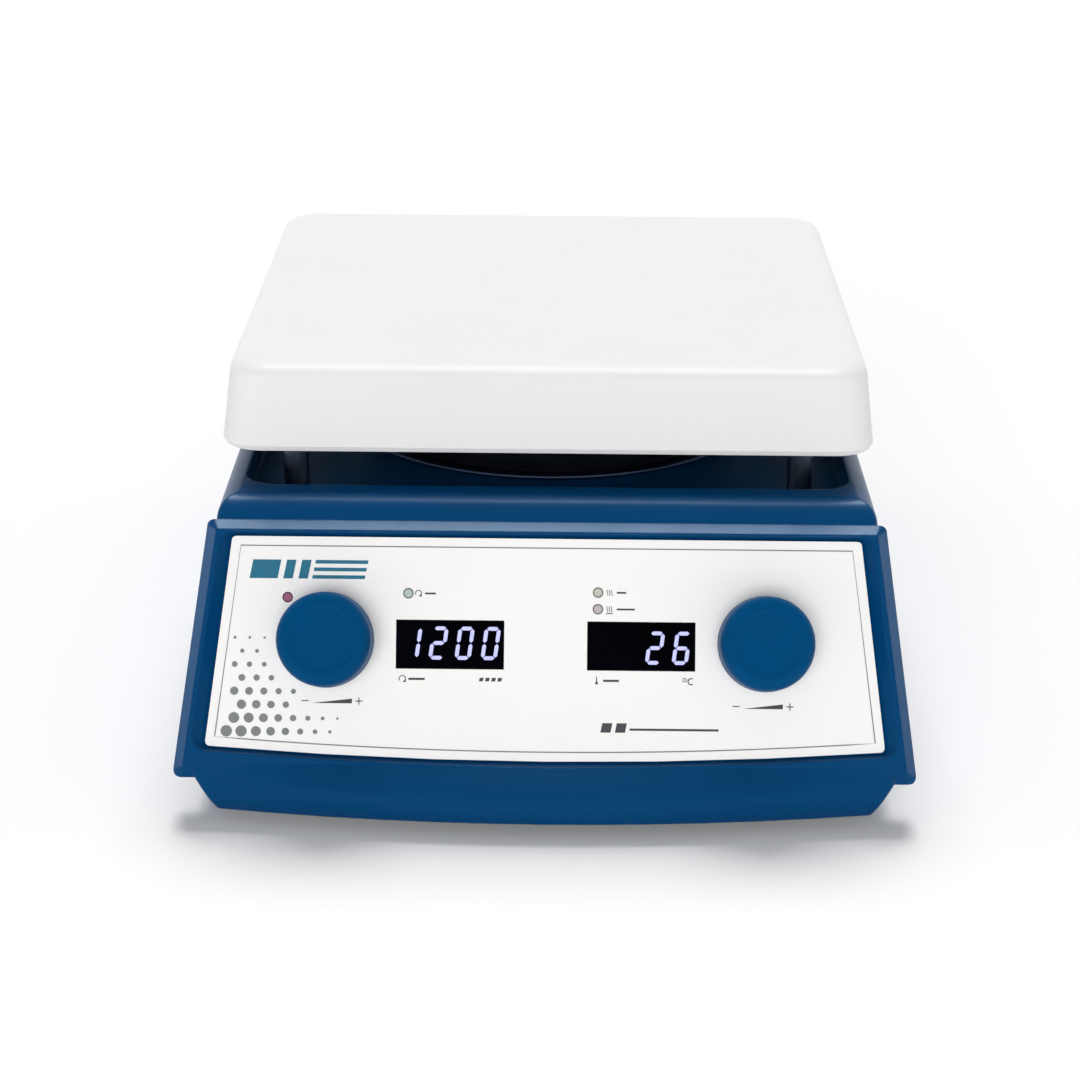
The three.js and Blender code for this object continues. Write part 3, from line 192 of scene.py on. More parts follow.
def print_material(name, colour):
    """Matt printing ink."""
    s = Shader(name)
    s.drift(s.noise(700.0), colour, 0.06)
    s.relief(s.bump(s.noise(5000.0), 0.01))
    s.set(Roughness=0.5)
    return s.material


def window_material():
    """Dark tinted display window: near black, with a faint blue cast."""
    s = Shader("display_window")
    cast = s.ramp(s.noise(60.0), srgb(2, 2, 5), srgb(3, 4, 10), 0.35, 0.65)
    s.link(cast, s.shader.inputs["Base Color"])
    s.relief(s.bump(s.noise(3000.0), 0.004, below=s.rounded_edges(0.2)))
    s.set(Roughness=0.12, Specular_IOR_Level=0.008)
    return s.material


def digit_material():
    """Lit segments: a cool white glow that is a little uneven."""
    s = Shader("digit_light")
    glow = s.ramp(s.noise(900.0), srgb(172, 176, 236), srgb(190, 194, 248))
    s.link(glow, s.shader.inputs["Emission Color"])
    s.set(Base_Color=srgb(120, 120, 150), Roughness=0.5, Emission_Strength=0.95)
    return s.material


housing_paint = coated("housing_paint", srgb(0, 63, 110), 0.3, drift=0.03, grain=0.01, peel=0.02,
                       edge=0.7, spread=0.02, specular=0.12, tint=(0.5, 0.78, 1.0))
plate_coating = coated("plate_coating", srgb(230, 230, 229), 0.42, drift=0.006, grain=0.01,
                       peel=0.01, edge=0.3, spread=0.02, specular=0.45)
label_film = coated("label_film", srgb(251, 250, 248), 0.45, drift=0.008, grain=0.012,
                    grain_scale=2600.0, edge=0.1, specular=0.3)
knob_plastic = coated("knob_plastic", srgb(0, 71, 118), 0.4, drift=0.06, grain=0.02,
                      grain_scale=2400.0, edge=0.3, specular=0.04)
black_plastic = coated("black_plastic", srgb(24, 25, 27), 0.46, drift=0.15, grain=0.04,
                       grain_scale=2200.0, edge=0.3)
foot_rubber = coated("foot_rubber", srgb(26, 26, 27), 0.8, drift=0.2, grain=0.06,
                     grain_scale=1500.0, edge=0.4)
rear_panel_paint = coated("rear_panel_paint", srgb(58, 62, 68), 0.5, drift=0.06, grain=0.06,
                          grain_scale=1700.0, edge=0.3)
heater_sheet = coated("heater_sheet", srgb(190, 160, 112), 0.5, drift=0.18, grain=0.04)
insulation_fibre = coated("insulation_fibre", srgb(221, 214, 198), 0.92, drift=0.1, grain=0.2,
                          grain_scale=900.0)
board_laminate = coated("board_laminate", srgb(24, 92, 52), 0.4, drift=0.2, coat=0.3)
winding = coated("winding", srgb(150, 96, 58), 0.4, drift=0.25, grain=0.15, grain_scale=700.0,
                 metallic=0.6)

steel_sheet = brushed("steel_sheet", srgb(176, 179, 183), 0.38, (30.0, 1500.0, 1500.0))
turned_steel = brushed("turned_steel", srgb(168, 170, 173), 0.4)
aluminium_part = brushed("aluminium_part", srgb(198, 201, 204), 0.4, (60.0, 60.0, 1200.0))
# The heat shield's near-black colour is painted shade: it stands in for the shade under the plate
shield_steel_painted_shade = brushed("shield_steel_painted_shade", srgb(50, 55, 64), 0.42, (60.0, 60.0, 1200.0))
# The bead's dim bluish colour is a painted highlight, dimmed by painted shade under the plate; its
# gloss still reflects the lamps
bead_steel_painted_highlight = brushed("bead_steel_painted_highlight", srgb(84, 100, 132), 0.4, (900.0, 900.0, 900.0), 0.004)
post_steel = brushed("post_steel", srgb(112, 126, 146), 0.34, (300.0, 300.0, 5000.0), 0.004)
brass_part = brushed("brass_part", srgb(205, 172, 96), 0.3)

lamp_red = lamp_material("lamp_red", srgb(160, 84, 116), 0.12)
lamp_red_off = lamp_material("lamp_red_off", srgb(206, 188, 188))
lamp_amber_off = lamp_material("lamp_amber_off", srgb(210, 203, 188))
lamp_green_off = lamp_material("lamp_green_off", srgb(196, 206, 198))

ink_dark = print_material("ink_dark", srgb(62, 64, 68))
ink_line = print_material("ink_line", srgb(128, 133, 138))
ink_pale = print_material("ink_pale", srgb(190, 193, 196))
ink_grey = print_material("ink_grey", srgb(126, 130, 131))
ink_teal = print_material("ink_teal", srgb(32, 107, 135))
ink_white = print_material("ink_white", srgb(232, 232, 230))

display_window = window_material()
digit_light = digit_material()


# Smooth shading: edges that turn by more than this stay sharp
SHARP_ANGLE = math.radians(33)
MERGE_DISTANCE = 0.003


def smoothing_group():
    """Joins the facets of a carried solid and smooths them up to the sharp angle, by a modifier."""
    group = bpy.data.node_groups.new("smooth_by_angle", "GeometryNodeTree")
    for in_out in ("INPUT", "OUTPUT"):
        group.interface.new_socket("Geometry", in_out=in_out, socket_type="NodeSocketGeometry")
    start, end = add_node(group, "NodeGroupInput"), add_node(group, "NodeGroupOutput")
    merge = add_node(group, "GeometryNodeMergeByDistance", Distance=MERGE_DISTANCE * MM)
    faces = add_node(group, "GeometryNodeSetShadeSmooth")
    faces.domain = "FACE"
    edges = add_node(group, "GeometryNodeSetShadeSmooth", Shade_Smooth=False)
    edges.domain = "EDGE"
    angle = add_node(group, "GeometryNodeInputMeshEdgeAngle")
    sharp = add_node(group, "FunctionNodeCompare")
    sharp.data_type = "FLOAT"
    sharp.operation = "GREATER_THAN"
    set_inputs(sharp, B=SHARP_ANGLE)
    chain = (start, merge, faces, edges, end)
    for source, target in zip(chain, chain[1:]):
        group.links.new(source.outputs["Geometry"], target.inputs["Geometry"])
    group.links.new(angle.outputs["Unsigned Angle"], sharp.inputs["A"])
    group.links.new(sharp.outputs["Result"], edges.inputs["Selection"])
    return group


smooth_by_angle = smoothing_group()


def dress(node, material):
    """Gives a carried solid its finish and smooth shading, and leaves its mesh alone."""
    piece = nodes[node]
    piece.data.materials.clear()
    piece.data.materials.append(material)
    piece.modifiers.new("smooth_by_angle", "NODES").node_group = smooth_by_angle
    weighted = piece.modifiers.new("weighted_normals", "WEIGHTED_NORMAL")
    weighted.keep_sharp = True
    weighted.weight = 100


# New pieces
def new_piece(name, body, material, bm, smooth_faces=True, replaced=()):
    """A mesh piece that rides on a body and may replace CAD nodes."""
    mesh = bpy.data.meshes.new(name)
    piece = bpy.data.objects.new(name, mesh)
    scene.collection.objects.link(piece)
    mesh.materials.append(material)
    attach(piece, body)
    if replaced:
        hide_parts(*replaced)
    bmesh.ops.recalc_face_normals(bm, faces=bm.faces)
    bm.to_mesh(mesh)
    bm.free()
    mesh.polygons.foreach_set("use_smooth", [smooth_faces] * len(mesh.polygons))
    mesh.set_sharp_from_angle(angle=SHARP_ANGLE)


def box_mm(node):
    """Lowest and highest corner of a CAD solid."""
    return [[value / MM for value in corner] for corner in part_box(node)]


def add_rings(bm, rings, matrix=Matrix.Identity(4), joined=False):
    """Skin through rings of equally many (x, y, z) points. Its ends are closed, or joined to
    each other."""
    rows = [[bm.verts.new(matrix @ (Vector(point) * MM)) for point in ring] for ring in rings]
    count = len(rows[0])
    for low, high in zip(rows, rows[1:] + rows[:1] if joined else rows[1:]):
        for k in range(count):
            n = (k + 1) % count
            bm.faces.new((low[k], low[n], high[n], high[k]))
    if not joined:
        bm.faces.new(rows[0][::-1])
        bm.faces.new(rows[-1])


def add_prisms(bm, outlines, matrix, low, high):
    """Prisms on closed outlines of (x, y) points, from height low to height high."""
    for outline in outlines:
        add_rings(bm, [[(x, y, height) for x, y in outline] for height in (low, high)], matrix)


def round_points(x, y, radius, steps):
    return [(x + radius * math.cos(2 * math.pi * k / steps),
             y + radius * math.sin(2 * math.pi * k / steps)) for k in range(steps)]


def circle(radius, height, x=0.0, y=0.0, steps=96):
    return [(px, py, height) for px, py in round_points(x, y, radius, steps)]


def rounded_square(half, radius, height, y, steps=12):
    ring = []
    for quarter, (sx, sy) in enumerate(((1, -1), (1, 1), (-1, 1), (-1, -1))):
        for k in range(steps + 1):
            turn = math.pi / 2 * (quarter - 1 + k / steps)
            ring.append((sx * (half - radius) + radius * math.cos(turn),
                         y + sy * (half - radius) + radius * math.sin(turn), height))
    return ring


def quarter_round(steps):
    """Pairs (in, up) of a quarter circle of radius one, from upright to level."""
    return [(1 - math.cos(math.pi / 2 * k / steps), math.sin(math.pi / 2 * k / steps))
            for k in range(steps + 1)]


def plate():
    """Heating plate with its drafted skirt, rounded working edge and open underside."""
    (left, front, bottom), (right, back, top) = box_mm("heating_plate")
    y = (front + back) / 2
    half_foot, half_top = (right - left) / 2, 90.5
    corner, corner_share, least_corner = 11.0, 0.8, 3.0     # its corners tighten with the rounding
    edge, foot_round, foot_lean = 5.0, 1.5, 0.75
    wall, thickness, fillet, rim_break = 3.2, 6.0, 2.0, 0.4
    fillet_in, fillet_down = 0.4, 0.5       # a point half way round the fillet
    ceiling, hollow = top - thickness, half_top - wall

    # Down the hollow's wall from its ceiling to the skirt's lower rim: half size, corner, height
    rings = [rounded_square(hollow - fillet, 6.0, ceiling, y),
             rounded_square(hollow - fillet_in, 7.2, ceiling - fillet_down, y),
             rounded_square(hollow, 7.6, ceiling - fillet, y),
             rounded_square(half_foot - wall, 7.8, bottom + rim_break, y),
             rounded_square(half_foot - wall + rim_break, 8.2, bottom, y)]
    # Up the skirt's outside, round the working edge and in over the level face
    for _, up in quarter_round(6):
        rings.append(rounded_square(half_foot - foot_lean * (1 - up), corner,
                                    bottom + foot_round * up, y))
    for inward, up in quarter_round(14):
        inset = edge * inward
        rings.append(rounded_square(half_top - inset, corner - inset * corner_share,
                                    top - edge * (1 - up), y))
    for inset in (8.0, 14.0, 30.0):
        rings.append(rounded_square(half_top - inset,
                                    max(corner - inset * corner_share, least_corner), top, y))
    bm = bmesh.new()
    add_rings(bm, rings)
    new_piece("plate_enamelled", "base", plate_coating, bm,
              replaced=["heating_plate"])


# The control panel's own frame: across, up the slope, out along its normal
PANEL_Y, PANEL_Z, PANEL_SLOPE = -111.5, 80.2, 67.0
PANEL = (Matrix.Translation((0, PANEL_Y * MM, PANEL_Z * MM))
         @ Matrix.Rotation(math.radians(PANEL_SLOPE), 4, "X"))
KNOB_X, KNOB_Y = 60.8, -33.3


def knob(use, side):
    """Push knob: a flared body with a rounded shoulder round a shallow dished face."""
    radius, bore, face, fullness = 13.3, 6.5, 9.6, 0.9
    back, chamfer, waist, shoulder, top = -0.6, 0.35, 3.0, 8.0, 12.4
    taper_waist, taper_shoulder = 0.15, 0.25
    dish = ((9.35, 0.0), (9.1, 0.12), (8.6, 0.34), (7.6, 0.4), (4.0, 0.44), (0.8, 0.45))
    profile = [(bore, back), (radius - chamfer, back), (radius, back + chamfer),
               (radius - taper_waist, back + waist), (radius - taper_shoulder, shoulder)]
    steps = 14
    for k in range(1, steps + 1):
        turn = math.pi / 2 * k / steps
        profile.append((face + (radius - taper_shoulder - face) * math.cos(turn) ** fullness,
                        shoulder + (top - shoulder) * math.sin(turn)))
    profile += [(dish_radius, top - depth) for dish_radius, depth in dish]
    bm = bmesh.new()
    seat = PANEL @ Matrix.Translation((side * KNOB_X * MM, KNOB_Y * MM, 0))
    add_rings(bm, [circle(r, height) for r, height in profile], seat)
    new_piece(f"{use}_knob_cap", f"{use}_knob", knob_plastic, bm,
              replaced=[f"{use}_knob"])


# The label on the panel: half widths, and distances down the slope from the panel's upper edge
LABEL_TOP, LABEL_BOTTOM = 4.7, 63.0
LABEL_HALF_TOP, LABEL_HALF_BOTTOM, LABEL_BOW = 87.5, 94.0, 3.4
LABEL_FACE = -1.5
PRINT_LIFT, PRINT_THICKNESS = 0.03, 0.02
DIGIT_LIFT, DIGIT_THICKNESS = 0.04, 0.03
FRAME_INSET, FRAME_WIDTH = 2.6, 0.36
LAMP_RING_RADIUS, LAMP_RING_WIDTH = 1.45, 0.16
DISC_STEPS, RING_STEPS = 20, 28


def flat_piece(name, material, outlines, lift=PRINT_LIFT, thickness=PRINT_THICKNESS):
    """Thin shapes over the label's face, on closed outlines of points across and up the slope."""
    bm = bmesh.new()
    low = LABEL_FACE + lift
    add_prisms(bm, outlines, PANEL, low, low + thickness)
    new_piece(name, "base", material, bm, smooth_faces=False)


def strip(points, width, closed=False):
    """Quads along a line of (x, y) points."""
    count = len(points)
    sides = []
    for k in range(count):
        before = points[(k - 1) % count] if closed or k else points[k]
        after = points[(k + 1) % count] if closed or k < count - 1 else points[k]
        along = Vector((after[0] - before[0], after[1] - before[1])).normalized()
        sides.append(Vector((-along.y, along.x)) * width / 2)
    quads = []
    for k in range(count if closed else count - 1):
        n = (k + 1) % count
        a, b = Vector(points[k]), Vector(points[n])
        quads.append([tuple(a + sides[k]), tuple(a - sides[k]),
                      tuple(b - sides[n]), tuple(b + sides[n])])
    return quads


def dash(x0, x1, y, width=0.5):
    return strip([(x0, y), (x1, y)], width)


def arc(x, y, radius, start, end, steps=16):
    turns = [math.radians(start + (end - start) * k / steps) for k in range(steps + 1)]
    return [(x + radius * math.cos(turn), y + radius * math.sin(turn)) for turn in turns]


def bar(x0, x1, y0, y1, slant=0.0):
    """Parallelogram leaning right by slant over its height."""
    return [(x0, y0), (x1, y0), (x1 + slant, y1), (x0 + slant, y1)]


def label_frame():
    """Course of the printed frame line, with its bowed lower side."""
    top, bottom = LABEL_TOP + FRAME_INSET, LABEL_BOTTOM - FRAME_INSET
    half_top, half_bottom = LABEL_HALF_TOP - FRAME_INSET, LABEL_HALF_BOTTOM - FRAME_INSET
    points = [(-half_top, -top), (half_top, -top), (half_bottom, -bottom)]
    steps = 24
    for k in range(1, steps):
        share = k / steps
        points.append((half_bottom * (1 - 2 * share),
                       -bottom - LABEL_BOW * 4 * share * (1 - share)))
    points.append((-half_bottom, -bottom))
    return points


# Marks: all their proportions are shares of their size
def stir_mark(x, y, size):
    """Round arrow with its head at the lower right."""
    start, end = -50, 210
    tip_x = x + size * math.cos(math.radians(start))
    tip_y = y + size * math.sin(math.radians(start))
    head = [(tip_x - size * 0.55, tip_y - size * 0.15), (tip_x + size * 0.5, tip_y - size * 0.3),
            (tip_x + size * 0.15, tip_y + size * 0.6)]
    return strip(arc(x, y, size, start, end), size * 0.28) + [head]


def heat_mark(x, y, size):
    """Three rising waves."""
    steps = 10
    marks = []
    for across in (-0.75, 0.0, 0.75):
        wave = []
        for k in range(steps + 1):
            sway = 0.16 * math.sin(2 * math.pi * k / steps)
            wave.append((x + size * (across + sway), y + size * (2 * k / steps - 1)))
        marks += strip(wave, size * 0.24)
    return marks


def thermometer_mark(x, y, size):
    stem = bar(x - size * 0.14, x + size * 0.14, y - size * 0.5, y + size)
    return [stem, round_points(x, y - size * 0.75, size * 0.4, DISC_STEPS)]


def scale_mark(x, y):
    """Rising wedge between a minus and a plus."""
    half, height, half_line = 5.5, 1.3, 0.14
    arm = height * 0.75
    wedge = [(x - half, y - height / 2), (x + half, y - height / 2), (x + half, y + height / 2)]
    plus_x = x + half + 2 * arm
    return [wedge,
            bar(x - half - 3 * arm, x - half - arm, y - half_line, y + half_line),
            bar(plus_x - arm, plus_x + arm, y - half_line, y + half_line),
            bar(plus_x - half_line, plus_x + half_line, y - arm, y + arm)]


# Places on the label: the rows beside the three lamps over the windows, and the row under them
STIR_ROW, HEAT_ROW, HOT_ROW, CAPTION_ROW = -20.2, -19.5, -24.1, -43.9
SCALE_LEFT, SCALE_RIGHT = (-59.0, -50.2), (60.3, -50.6)
LAMPS = {"stirring": (-38.2, STIR_ROW), "heating": (14.4, HEAT_ROW), "hot": (14.4, HOT_ROW)}


def caption_marks():
    """Icons, dashes, the degree sign and the knobs' scales."""
    marks = stir_mark(-35.4, STIR_ROW, 0.85) + dash(-33.6, -30.6, STIR_ROW)
    marks += heat_mark(17.6, HEAT_ROW, 0.8) + dash(19.6, 22.2, HEAT_ROW)
    marks += heat_mark(17.6, HOT_ROW, 0.8) + [bar(16.6, 18.6, -25.4, -25.15)]
    marks += dash(19.6, 24.6, HOT_ROW)
    marks += stir_mark(-39.6, CAPTION_ROW, 0.9) + dash(-37.9, -33.4, CAPTION_ROW, 0.6)
    marks += [bar(-18.4 + 1.7 * k, -17.3 + 1.7 * k, -44.4, -43.4, 0.25) for k in range(4)]
    marks += thermometer_mark(14.2, -43.8, 1.0) + dash(16.0, 20.4, CAPTION_ROW, 0.6)
    marks += strip(arc(38.6, -43.5, 0.5, 0, 360), 0.22)
    marks += strip(arc(40.4, CAPTION_ROW, 0.85, 60, 300), 0.32)
    return marks + scale_mark(*SCALE_LEFT) + scale_mark(*SCALE_RIGHT)


def head_bars():
    """Block, two uprights and three lines in the upper left corner."""
    low, high = -16.4, -11.2
    bars = [bar(x0, x1, low, high, 1.0)
            for x0, x1 in ((-82.4, -74.6), (-73.0, -70.4), (-68.8, -66.2))]
    lines = ((-64.6, -50.0, -14.3), (-65.0, -50.4, low), (-64.2, -49.6, -12.2))
    return bars + [bar(x0, x1, y, y + 1.0, 0.2) for x0, x1, y in lines]


def foot_rule():
    """Two blocks and a line in the lower right."""
    blocks = [bar(x, x + 2.8, -58.2, -55.6, 0.5) for x in (15.4, 19.4)]
    return blocks + [bar(23.4, 48.0, -57.6, -57.0, 0.1)]


def dot_field():
    """Dots that shrink away from the lower left corner, clear of frame line, knob and scale."""
    first_x, first_y, pitch, row_pitch = -88.2, -58.8, 4.1, 3.7
    corner_x, corner_y, reach_x, reach_y = -91.0, -62.0, 42.0, 38.0
    biggest, full, least = 1.6, 1.92, 0.3
    side_margin, low_limit, knob_clear = 3.4, -60.6, 15.2
    scale_x, scale_y = SCALE_LEFT
    scale_clear_x, scale_clear_y = 12.0, 2.2
    flare = (LABEL_HALF_BOTTOM - LABEL_HALF_TOP) / (LABEL_BOTTOM - LABEL_TOP)
    dots = []
    for row in range(9):
        for column in range(11):
            x = first_x + column * pitch + (row % 2) * pitch / 2
            y = first_y + row * row_pitch
            reach = math.hypot((x - corner_x) / reach_x, (y - corner_y) / reach_y)
            size = min(biggest, full * (1 - reach))
            half_label = LABEL_HALF_TOP + (-y - LABEL_TOP) * flare
            in_frame = x - size > side_margin - half_label and y - size > low_limit
            off_knob = math.hypot(x + KNOB_X, y - KNOB_Y) > knob_clear + size
            off_scale = math.hypot((x - scale_x) / (scale_clear_x + size),
                                   (y - scale_y) / (scale_clear_y + size)) > 1
            if size > least and in_frame and off_knob and off_scale:
                dots.append(round_points(x, y, size, DISC_STEPS))
    return dots


def label_prints():
    prints = {"frame_line": (ink_line, strip(label_frame(), FRAME_WIDTH, closed=True)),
              "marks": (ink_dark, caption_marks()), "rule": (ink_dark, foot_rule()),
              "bars": (ink_teal, head_bars()), "dots": (ink_grey, dot_field())}
    for name, (ink, outlines) in prints.items():
        flat_piece(f"label_{name}", ink, outlines)
    for name, (x, y) in LAMPS.items():
        ring = round_points(x, y, LAMP_RING_RADIUS, RING_STEPS)
        flat_piece(f"lamp_ring_{name}", ink_pale,
                   strip(ring, LAMP_RING_WIDTH, closed=True))


# Seven-segment digits: the segments that each numeral lights, top first and then clockwise, with
# the middle one named g
SEGMENTS = {"0": "abcdef", "1": "bc", "2": "abged", "6": "afgedc"}
DIGIT_WIDTH, DIGIT_HEIGHT, STROKE, GAP, LEAN = 4.5, 9.2, 1.05, 0.14, 0.13


def segment(letter):
    """Outline of one segment about the digit's centre: a, g and d lie, the others stand."""
    half_width, half_height, tip = DIGIT_WIDTH / 2, DIGIT_HEIGHT / 2, STROKE / 2
    levels = {"a": half_height - tip, "g": 0.0, "d": tip - half_height}
    if letter in levels:
        y = levels[letter]
        left, right = -half_width + tip + GAP, half_width - tip - GAP
        return [(left, y), (left + tip, y - tip), (right - tip, y - tip), (right, y),
                (right - tip, y + tip), (left + tip, y + tip)]
    x = half_width - tip if letter in "bc" else tip - half_width
    upper = letter in "bf"
    low, high = (GAP, half_height - tip - GAP) if upper else (tip - half_height + GAP, -GAP)
    return [(x, low), (x + tip, low + tip), (x + tip, high - tip), (x, high),
            (x - tip, high - tip), (x - tip, low + tip)]


def digits(name, text, last_x, pitch, y):
    """Lit numerals, set from the last one to the left."""
    lit = []
    for place, numeral in enumerate(reversed(text)):
        x = last_x - place * pitch
        for letter in SEGMENTS[numeral]:
            lit.append([(x + px + LEAN * py, y + py) for px, py in segment(letter)])
    flat_piece(name, digit_light, lit, DIGIT_LIFT, DIGIT_THICKNESS)


# Fine details under the plate, at the back and on the underside
def drum_bead():
    """Rolled bead round the drum's foot, which catches the light under the plate; its dim bluish
    colour is a painted highlight, dimmed by painted shade from the plate.
    """
    (left, front, foot), (right, back, _) = box_mm("heat_shield_drum")
    x, y, radius = (left + right) / 2, (front + back) / 2, (right - left) / 2
    tube, tube_steps, round_steps = 0.75, 10, 128
    rings = []
    for k in range(tube_steps):
        turn = 2 * math.pi * k / tube_steps
        rings.append(circle(radius + tube * math.cos(turn), foot + tube + tube * math.sin(turn),
                            x, y, round_steps))
    bm = bmesh.new()
    add_rings(bm, rings, joined=True)
    new_piece("drum_bead", "base", bead_steel_painted_highlight, bm)


def screw_shade_cross(name, centre, outward, radius):
    """Dark cross on a screw's head: painted shade that stands for the shade in its cross recess."""
    depth, w = 0.03, radius * 0.2
    outline = [(w, w), (w, radius), (-w, radius), (-w, w), (-radius, w), (-radius, -w), (-w, -w),
               (-w, -radius), (w, -radius), (w, -w), (radius, -w), (radius, w)]
    turn = Vector(outward).to_track_quat("Z", "Y").to_matrix().to_4x4()
    bm = bmesh.new()
    add_prisms(bm, [outline], Matrix.Translation(Vector(centre) * MM) @ turn, 0.0, depth)
    new_piece(name, "base", black_plastic, bm, smooth_faces=False)


# Painted shade crosses on the heads of the bottom and rear screws
def screw_shade_crosses():
    for k in range(1, 5):
        (x0, y0, z0), (x1, y1, _) = box_mm(f"bottom_screw_{k}")
        centre = ((x0 + x1) / 2, (y0 + y1) / 2, z0)
        screw_shade_cross(f"bottom_screw_cross_{k}", centre, (0, 0, -1), 1.7)
    for k in range(1, 3):
        (x0, _, z0), (x1, y1, z1) = box_mm(f"rear_screw_{k}")
        centre = ((x0 + x1) / 2, y1, (z0 + z1) / 2)
        screw_shade_cross(f"rear_screw_cross_{k}", centre, (0, 1, 0), 1.3)


def inlet_pins():
    """Bright sleeves over the inlet's three moulded pins, with chamfered tips."""
    (left, _, _), (right, face, _) = box_mm("mains_inlet")
    middle = (left + right) / 2
    half_width, half_height = 1.0, 2.0
    root, neck, tip = 15.9, 2.96, 2.55      # depths behind the inlet's face
    proud, tip_inset = 0.04, 0.4
    for name, x, z in (("line", -7.0, 53.0), ("neutral", 7.0, 53.0), ("earth", 0.0, 59.0)):
        rings = []
        for depth, grow in ((root, proud), (neck, proud), (tip, -tip_inset)):
            low_x, high_x = middle + x - half_width - grow, middle + x + half_width + grow
            low_z, high_z = z - half_height - grow, z + half_height + grow
            y = face - depth
            rings.append([(low_x, y, low_z), (high_x, y, low_z),
                          (high_x, y, high_z), (low_x, y, high_z)])
        bm = bmesh.new()
        add_rings(bm, rings)
        new_piece(f"inlet_pin_{name}", "base", brass_part, bm)


def rocker_marks():
    """Line for on and ring for off, each on its half of the tilted rocker."""
    (left, _, _), (right, _, _) = box_mm("power_rocker")
    pivot = Vector(((left + right) / 2, 142.9, 46.0))
    tilt = Matrix.Rotation(math.radians(8), 4, "X")
    slope = math.atan2(1.8, 11.0)           # the half's rise over its length
    seat_out, seat_along, thickness = 2.1, 5.5, 0.05
    line = [bar(-0.25, 0.25, -1.9, 1.9)]
    ring = strip(round_points(0, 0, 1.7, RING_STEPS), 0.45, closed=True)
    for name, side, outlines in (("on", 1, line), ("off", -1, ring)):
        facing = Matrix.Rotation(-math.radians(90) - side * slope, 4, "X")
        seat = Matrix.Translation(Vector((0, seat_out, side * seat_along)) * MM)
        bm = bmesh.new()
        add_prisms(bm, outlines, Matrix.Translation(pivot * MM) @ tilt @ seat @ facing,
                   0.0, thickness)
        new_piece(f"rocker_mark_{name}", "power_rocker", ink_white, bm,
                  smooth_faces=False)


# Carried solids and their finishes
finishes = {
    "housing": housing_paint, "bottom_plate": steel_sheet, "heating_element": heater_sheet,
    "insulation_pad": insulation_fibre, "pressure_plate": steel_sheet,
    "plate_sensor": turned_steel, "heat_shield_drum": shield_steel_painted_shade, "motor_bracket": steel_sheet,
    "drive_motor": turned_steel, "motor_shaft": turned_steel, "magnet_carrier": aluminium_part,
    "power_board": board_laminate, "transformer": winding, "heat_sink": aluminium_part,
    "rear_panel": rear_panel_paint, "mains_inlet": black_plastic, "fuse_drawer": black_plastic,
    "power_switch_frame": black_plastic, "power_rocker": black_plastic,
    "probe_socket": brass_part, "rod_socket": turned_steel, "label_panel": label_film,
    "control_board": board_laminate, "lamp_power": lamp_red, "lamp_stirring": lamp_green_off,
    "lamp_heating": lamp_amber_off, "lamp_hot_plate": lamp_red_off,
}
for side in ("left", "right"):
    finishes[f"display_window_{side}"] = display_window
    finishes[f"display_module_{side}"] = black_plastic
    for end in ("front", "rear"):
        finishes[f"foot_{end}_{side}"] = foot_rubber
for k in range(1, 5):
    finishes[f"plate_post_{k}"] = post_steel
    finishes[f"bottom_screw_{k}"] = turned_steel
for k in range(1, 3):
    finishes[f"rear_screw_{k}"] = turned_steel
    finishes[f"drive_magnet_{k}"] = turned_steel
for use in ("speed", "heat"):
    finishes[f"{use}_encoder"] = black_plastic
    finishes[f"{use}_encoder_nut"] = brass_part
    finishes[f"{use}_plunger"] = black_plastic
    finishes[f"{use}_encoder_shaft"] = turned_steel
for node, material in finishes.items():
    dress(node, material)

plate()
knob("speed", -1)
knob("heat", 1)
label_prints()
digits("digits_left", "1200", last_x=-15.2, pitch=7.25, y=-33.9)
digits("digits_right", "26", last_x=37.7, pitch=7.4, y=-34.7)
drum_bead()
screw_shade_crosses()
inlet_pins()
rocker_marks()


# Floor, world, light and camera
def floor():
    """Pale round floor that glows faintly to the camera alone, so that it blends into the world."""
    bm = bmesh.new()
    bmesh.ops.create_circle(bm, cap_ends=True, radius=6000 * MM, segments=96)
    mesh = bpy.data.meshes.new("floor")
    bm.to_mesh(mesh)
    bm.free()
    piece = bpy.data.objects.new("floor", mesh)
    scene.collection.objects.link(piece)
    material = bpy.data.materials.new("floor_white")
    material.use_nodes = True
    mesh.materials.append(material)
    tree = material.node_tree
    shader, output = tree.nodes["Principled BSDF"], tree.nodes["Material Output"]
    set_inputs(shader, Base_Color=(0.9, 0.9, 0.9, 1), Roughness=0.9, Specular_IOR_Level=0.0)
    path = add_node(tree, "ShaderNodeLightPath")
    glow = add_node(tree, "ShaderNodeEmission", Strength=0.05)
    glowing = add_node(tree, "ShaderNodeAddShader")
    pick = add_node(tree, "ShaderNodeMixShader")
    link = tree.links.new
    link(shader.outputs["BSDF"], glowing.inputs[0])
    link(glow.outputs["Emission"], glowing.inputs[1])
    link(path.outputs["Is Camera Ray"], pick.inputs["Fac"])
    link(shader.outputs["BSDF"], pick.inputs[1])
    link(glowing.outputs["Shader"], pick.inputs[2])
    link(pick.outputs["Shader"], output.inputs["Surface"])


def world():
    """White to the camera, in gloss and through glass, and a dim even fill for the rest."""
    sky = bpy.data.worlds.new("studio")
    scene.world = sky
    sky.use_nodes = True
    tree = sky.node_tree
    back = tree.nodes["Background"]
    set_inputs(back, Color=(1, 1, 1, 1))
    path = add_node(tree, "ShaderNodeLightPath")
    seen, shown = add_node(tree, "ShaderNodeMath"), add_node(tree, "ShaderNodeMath")
    seen.operation = shown.operation = "MAXIMUM"
    level = add_node(tree, "ShaderNodeMapRange", To_Min=0.3, To_Max=1.0)
    link = tree.links.new
    link(path.outputs["Is Camera Ray"], seen.inputs[0])
    link(path.outputs["Is Transmission Ray"], seen.inputs[1])
    link(seen.outputs["Value"], shown.inputs[0])
    link(path.outputs["Is Glossy Ray"], shown.inputs[1])
    link(shown.outputs["Value"], level.inputs["Value"])
    link(level.outputs["Result"], back.inputs["Strength"])


